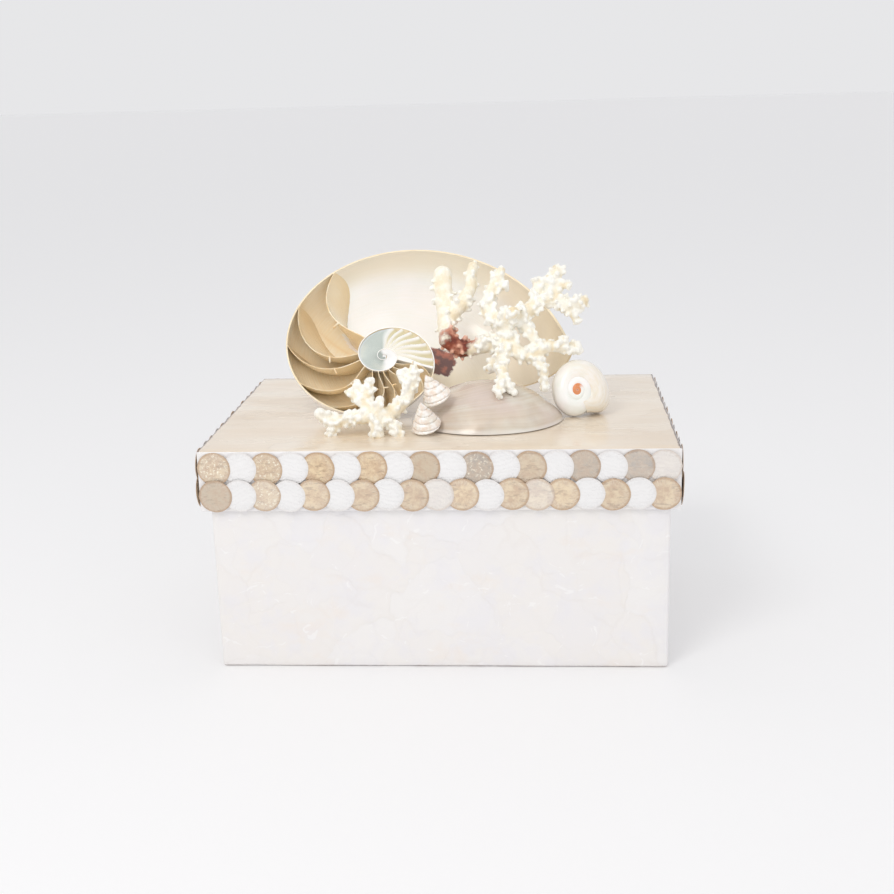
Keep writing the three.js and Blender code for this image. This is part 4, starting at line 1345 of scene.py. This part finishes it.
def add_valve():
    """A thin dome, its rim a little wavy, hollow below."""
    rows, columns = VALVE_ROWS, VALVE_COLUMNS
    turn = np.linspace(0, 2 * np.pi, columns, endpoint=False)
    wave = np.ones(columns)
    for rise, count, start in VALVE_WAVES:
        wave += rise * (np.sin(count * turn + start) - 1)
    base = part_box("pearl_valve")[0].z
    store = new_store()
    tilt = np.linspace(0, np.pi / 2, rows)
    rings = []
    tones = []
    for side, inset in ((tilt, 0.0), (tilt[::-1], 1.0)):
        for angle in side:
            share = math.sin(angle)
            height = math.cos(angle) ** VALVE_DOME * (VALVE_SIZE[2] - VALVE_EDGE * inset)
            shape = wave * share
            growth = growth_line(share * np.cos(turn), share * np.sin(turn))
            fade = share * (1 - inset) * (1 - math.cos(angle))
            ripple = VALVE_RIPPLE * np.sin(VALVE_RIPPLES * growth) * fade
            x = VALVE_MIDDLE[0] + (VALVE_SIZE[0] / 2 - VALVE_EDGE * inset) * shape * np.cos(turn)
            y = VALVE_MIDDLE[1] + (VALVE_SIZE[1] / 2 - VALVE_EDGE * inset) * shape * np.sin(turn)
            z = base + height * (1 - VALVE_SINK) + ripple
            rings.append(np.stack([x, y, z], axis=1))
            tones.append(np.stack([growth, np.full(columns, share), turn], axis=1))
    points = np.array(rings)
    spots = np.array(tones)[..., :2]
    add_skin(store, points, spots, np.array(tones), np.zeros(points.shape[:2]))
    piece = finish_skin("pearl_valve_skin", store, [valve_material()], 35)
    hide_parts("pearl_valve")
    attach(piece, "root")


add_valve()


# The turban shell on the right of the lid, laid so that its orange apex faces the front: a tube
# coiled four times with shallow seams, whose last whorl ends in a rounded mouth.
TURBAN_DIAMETER = 31 * MM
TURBAN_TIGHTENING = 0.11
TURBAN_SPIRE = 0.62
TURBAN_CLOSING = 0.40
TURBAN_CLOSING_FROM = 0.35
TURBAN_LAP = 0.30
TURBAN_FULLNESS = 2.25
TURBAN_LIP_TURN = 62
TURBAN_LEAN = math.radians(68)
TURBAN_TURN = math.radians(4)
TURBAN_COILS = 4.4
TURBAN_TALL = 1.12
TURBAN_SEAM_AT = math.radians(112)
TURBAN_SEAM_WIDTH = math.radians(26)
TURBAN_MOUTH_DEPTH = 0.22
TURBAN_AXIS_BORE = 0.02 * MM
TURBAN_STEP = 3.0
TURBAN_SIDES = 40
TURBAN_MOUTH = (0.72, 0.80, 0.90)
TURBAN_WHITE = (0.99, 0.985, 0.965, 1)
TURBAN_TAN = (0.87, 0.77, 0.60, 1)
TURBAN_ORANGE = (0.78, 0.27, 0.09, 1)
TURBAN_BROWN = (0.40, 0.25, 0.13, 1)


def turban_material():
    """White pearl with fine lines, an orange apex and brown-edged seams."""
    material, tree, shader = start_material("turban shell", 0.2, 0.6)
    tones, spot = skin_parts(tree)
    place = object_place(tree)
    drift = put(tree, "Group", {"Size": 90.0}, node_tree=NACRE_DRIFT).outputs
    band = put(tree, "CombineXYZ", {0: times(tree, spot[0], 2.0),
                                    1: times(tree, spot[1], 14.0)}).outputs[0]
    lines = fit(tree, speckle(tree, band, 1.0, 4.0, 0.6), 0.35, 0.65)
    colour = tint(tree, TURBAN_WHITE, drift["Pink"], 0.5, PEARL_PINK)
    colour = tint(tree, colour, drift["Green"], 0.4, PEARL_GREEN)
    late = fit(tree, tones[0], 0.0, 0.13, 1.0, 0.0)
    streaky = times(tree, late, plus(tree, 0.35, times(tree, lines, 0.4)))
    colour = mix(tree, streaky, colour, TURBAN_TAN)
    seam = fit(tree, tones[1], 0.0, 0.5, 1.0, 0.0)
    colour = tint(tree, colour, seam, 0.55, TURBAN_BROWN)
    apex = fit(tree, tones[0], 0.46, 0.50)
    colour = mix(tree, apex, colour, TURBAN_ORANGE)
    inner_seam = times(tree, fit(tree, tones[1], 0.1, 0.6, 1.0, 0.0), apex)
    colour = tint(tree, colour, inner_seam, 0.6, TURBAN_WHITE)
    dark = fit(tree, speckle(tree, place, 60.0, 2.0), 0.60, 0.72)
    colour = tint(tree, colour, dark, late, TURBAN_BROWN)
    tree.links.new(colour, shader.inputs["Base Color"])
    bump(tree, shader, lines, 0.05 * MM)
    return material


def add_turban():
    """A tube swept along a rising spiral, fitted into the box of its solid."""
    angles = np.radians(np.arange(-TURBAN_LIP_TURN, 360 * TURBAN_COILS, TURBAN_STEP))
    reach = TURBAN_DIAMETER / (1 + math.exp(-TURBAN_TIGHTENING * math.pi))
    shrink = math.exp(-TURBAN_TIGHTENING * 2 * math.pi)
    closing = -angles / math.radians(TURBAN_LIP_TURN) * (1 + TURBAN_CLOSING_FROM)
    closing = np.clip(closing - TURBAN_CLOSING_FROM, 0, 1)
    closing = 1 - TURBAN_CLOSING * closing ** 2 * (3 - 2 * closing)
    size = (reach * np.exp(-TURBAN_TIGHTENING * np.maximum(angles, 0)) * closing)[:, None]
    round_tube = np.linspace(0, 2 * np.pi, TURBAN_SIDES, endpoint=False)[None, :]
    middle = size * (1 + shrink * TURBAN_LAP) / TURBAN_FULLNESS
    tube = size - middle
    radial = middle + tube * np.cos(round_tube)
    height = (reach - size) * TURBAN_SPIRE + tube * np.sin(round_tube) * TURBAN_TALL
    radial = np.maximum(radial, TURBAN_AXIS_BORE)
    x = radial * np.cos(angles)[:, None]
    y = radial * np.sin(angles)[:, None]
    rings = np.stack([x, y, height], axis=2)
    tones = np.zeros((*rings.shape[:2], 3))
    tones[..., 0] = (angles / (2 * np.pi * TURBAN_COILS))[:, None]
    tones[..., 1] = np.clip(np.abs(round_tube - TURBAN_SEAM_AT) / TURBAN_SEAM_WIDTH, 0, 1)
    spots = np.zeros((*rings.shape[:2], 2))
    spots[..., 0] = angles[:, None]
    spots[..., 1] = round_tube / np.pi
    inner = []
    centre = rings[0].mean(axis=0)
    for share in TURBAN_MOUTH:
        ring = centre + (rings[0] - centre) * share
        backwards = np.array([-math.sin(angles[0]), math.cos(angles[0]), 0])
        inward = backwards * (1 - share) * TURBAN_MOUTH_DEPTH * reach
        inner.append(ring + inward)
    rings = np.concatenate([np.array(inner), rings])
    tones = np.concatenate([np.repeat(tones[:1], len(TURBAN_MOUTH), axis=0), tones])
    spots = np.concatenate([np.repeat(spots[:1], len(TURBAN_MOUTH), axis=0), spots])
    store = new_store()
    add_skin(store, rings, spots, tones, np.zeros(rings.shape[:2]), capped=(0, 0))
    piece = finish_skin("turban", store, [turban_material()], 60)
    stand = Matrix.Rotation(TURBAN_TURN, 4, "Z") @ Matrix.Rotation(TURBAN_LEAN, 4, "X")
    piece.data.transform(stand)
    low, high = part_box("turban_shell")
    skin = np.zeros(len(piece.data.vertices) * 3)
    piece.data.vertices.foreach_get("co", skin)
    skin = skin.reshape(-1, 3)
    span = skin.max(axis=0) - skin.min(axis=0)
    skin = (skin - skin.min(axis=0)) / span * np.array(high - low) + np.array(low)
    piece.data.vertices.foreach_set("co", skin.ravel())
    piece.data.update()
    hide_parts("turban_shell")
    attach(piece, "root")


add_turban()


# The two top shells leaning on each other: small cones of four whorls and a part, pinkish silver
# with dark grooves between rows of beads, made the same way and set down at two slants.
TOP_DIAMETER = 15.4 * MM
TOP_HEIGHT = 13.6 * MM
TOP_WHORLS = 4.3
TOP_BEADS = 24
TOP_SILVER = (0.97, 0.94, 0.91, 1)
TOP_PINK = (0.86, 0.73, 0.62, 1)
TOP_GROOVE = (0.34, 0.24, 0.18, 1)
TOP_ROWS = 90
TOP_COLUMNS = 72
TOP_GROOVE_DEPTH = 0.95 * MM
TOP_BEAD_DEPTH = 0.26 * MM
TOP_BEAD_SLANT = 9
TOP_GROOVE_SHARPNESS = 0.5
TOP_TIP_FADE = 3
TOP_TAPER = 0.86
# Shares of the radius: the cone's breadth at its foot, its tip's, and how far the foot draws in.
TOP_BREADTH = 0.965
TOP_TIP = 0.02
TOP_FOOT_INSET = 0.045
# Shares of the height: where the cone starts, how far it rises, and how much of it is foot.
TOP_CONE_START = 0.09
TOP_CONE_RISE = 0.905
TOP_FOOT_RISE = 0.16
TOP_BASE_RINGS = 14
# The base's rings, from its middle: each one's share of the radius and of the height.
TOP_BASE = ((0.35, 0.05), (0.70, 0.012), (0.88, 0.02), (0.96, 0.045))
LID_SURFACE = 102.6 * MM
# Each shell: its node, where its base stands in mm above the lid, and its forward and left leans.
TOP_PLACES = (
    ("top_shell_front", (-6, -45, 2.5), 18, 10),
    ("top_shell_rear", (-1, -37.5, 13.6), 12, 24),
)


def top_material():
    """Pink to silver nacre, brown in the grooves and white on the beads."""
    material, tree, shader = start_material("top shell", 0.22, 0.6)
    tones, _ = skin_parts(tree)
    drift = put(tree, "Group", {"Size": 160.0}, node_tree=NACRE_DRIFT).outputs
    place = object_place(tree)
    cloud = fit(tree, speckle(tree, place, 420.0, 3.0), 0.35, 0.65)
    colour = mix(tree, cloud, TOP_PINK, TOP_SILVER)
    colour = tint(tree, colour, drift["Green"], 0.3, PEARL_GREEN)
    groove = fit(tree, tones[0], 0.0, 0.42, 1.0, 0.0)
    colour = tint(tree, colour, groove, 0.85, TOP_GROOVE)
    colour = tint(tree, colour, fit(tree, tones[1], 0.55, 0.95), 0.5, PEARL_WHITE)
    tree.links.new(colour, shader.inputs["Base Color"])
    return material


TOP_MATERIAL = top_material()


def add_top_shell(node, place, forward, left):
    """A cone whose whorls wind round it, each with two rows of beads."""
    up = np.linspace(0, 1, TOP_ROWS)[:, None]
    turn = np.linspace(0, 2 * np.pi, TOP_COLUMNS, endpoint=False)[None, :]
    phase = (up * TOP_WHORLS + turn / (2 * np.pi)) % 1.0
    lift = np.sin(np.pi * phase) ** TOP_GROOVE_SHARPNESS
    beads = 0.5 + 0.5 * np.cos(TOP_BEADS * turn + TOP_BEAD_SLANT * up)
    beads = beads * np.sin(2 * np.pi * phase) ** 2
    taper = np.clip(1 - up, 0, 1)
    rounded = np.clip(up / TOP_FOOT_RISE, 0, 1)
    near_tip = np.clip(taper * TOP_TIP_FADE, 0, 1)
    swell = 1 - TOP_FOOT_INSET + TOP_FOOT_INSET * np.sin(rounded * np.pi / 2)
    radius = TOP_DIAMETER / 2 * (taper ** TOP_TAPER * TOP_BREADTH + TOP_TIP) * swell
    radius = radius - TOP_GROOVE_DEPTH * (1 - lift) * near_tip
    radius = radius - TOP_BEAD_DEPTH * (1 - beads) * lift * near_tip
    height = np.broadcast_to(TOP_HEIGHT * (TOP_CONE_START + TOP_CONE_RISE * up), radius.shape)
    skirt = []
    skirt_tones = []
    for share, level in TOP_BASE:
        skirt.append(np.stack([share * radius[0] * np.cos(turn[0]), share * radius[0] * np.sin(turn[0]),
                               np.full(TOP_COLUMNS, level * TOP_HEIGHT)], axis=1))
        ring_tone = 0.3 + 0.7 * math.sin(TOP_BASE_RINGS * share) ** 2
        skirt_tones.append(np.stack([np.full(TOP_COLUMNS, ring_tone),
                                     np.full(TOP_COLUMNS, 0.2), np.zeros(TOP_COLUMNS)], axis=1))
    cone = np.stack([radius * np.cos(turn), radius * np.sin(turn), height], axis=2)
    cone_tones = np.stack([lift, beads * lift, np.zeros_like(lift)], axis=2)
    rings = np.concatenate([np.array(skirt), cone])
    tones = np.concatenate([np.array(skirt_tones), cone_tones])
    store = new_store()
    add_skin(store, rings, tones[..., :2], tones, np.zeros(rings.shape[:2]), capped=(0, 0))
    piece = finish_skin(node + "_skin", store, [TOP_MATERIAL], 60)
    x, y, above = place
    lean = Matrix.Rotation(math.radians(forward), 4, "X") @ Matrix.Rotation(-math.radians(left), 4, "Y")
    piece.data.transform(Matrix.Translation((x * MM, y * MM, LID_SURFACE + above * MM)) @ lean)
    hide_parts(node)
    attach(piece, "root")


for top_place in TOP_PLACES:
    add_top_shell(*top_place)
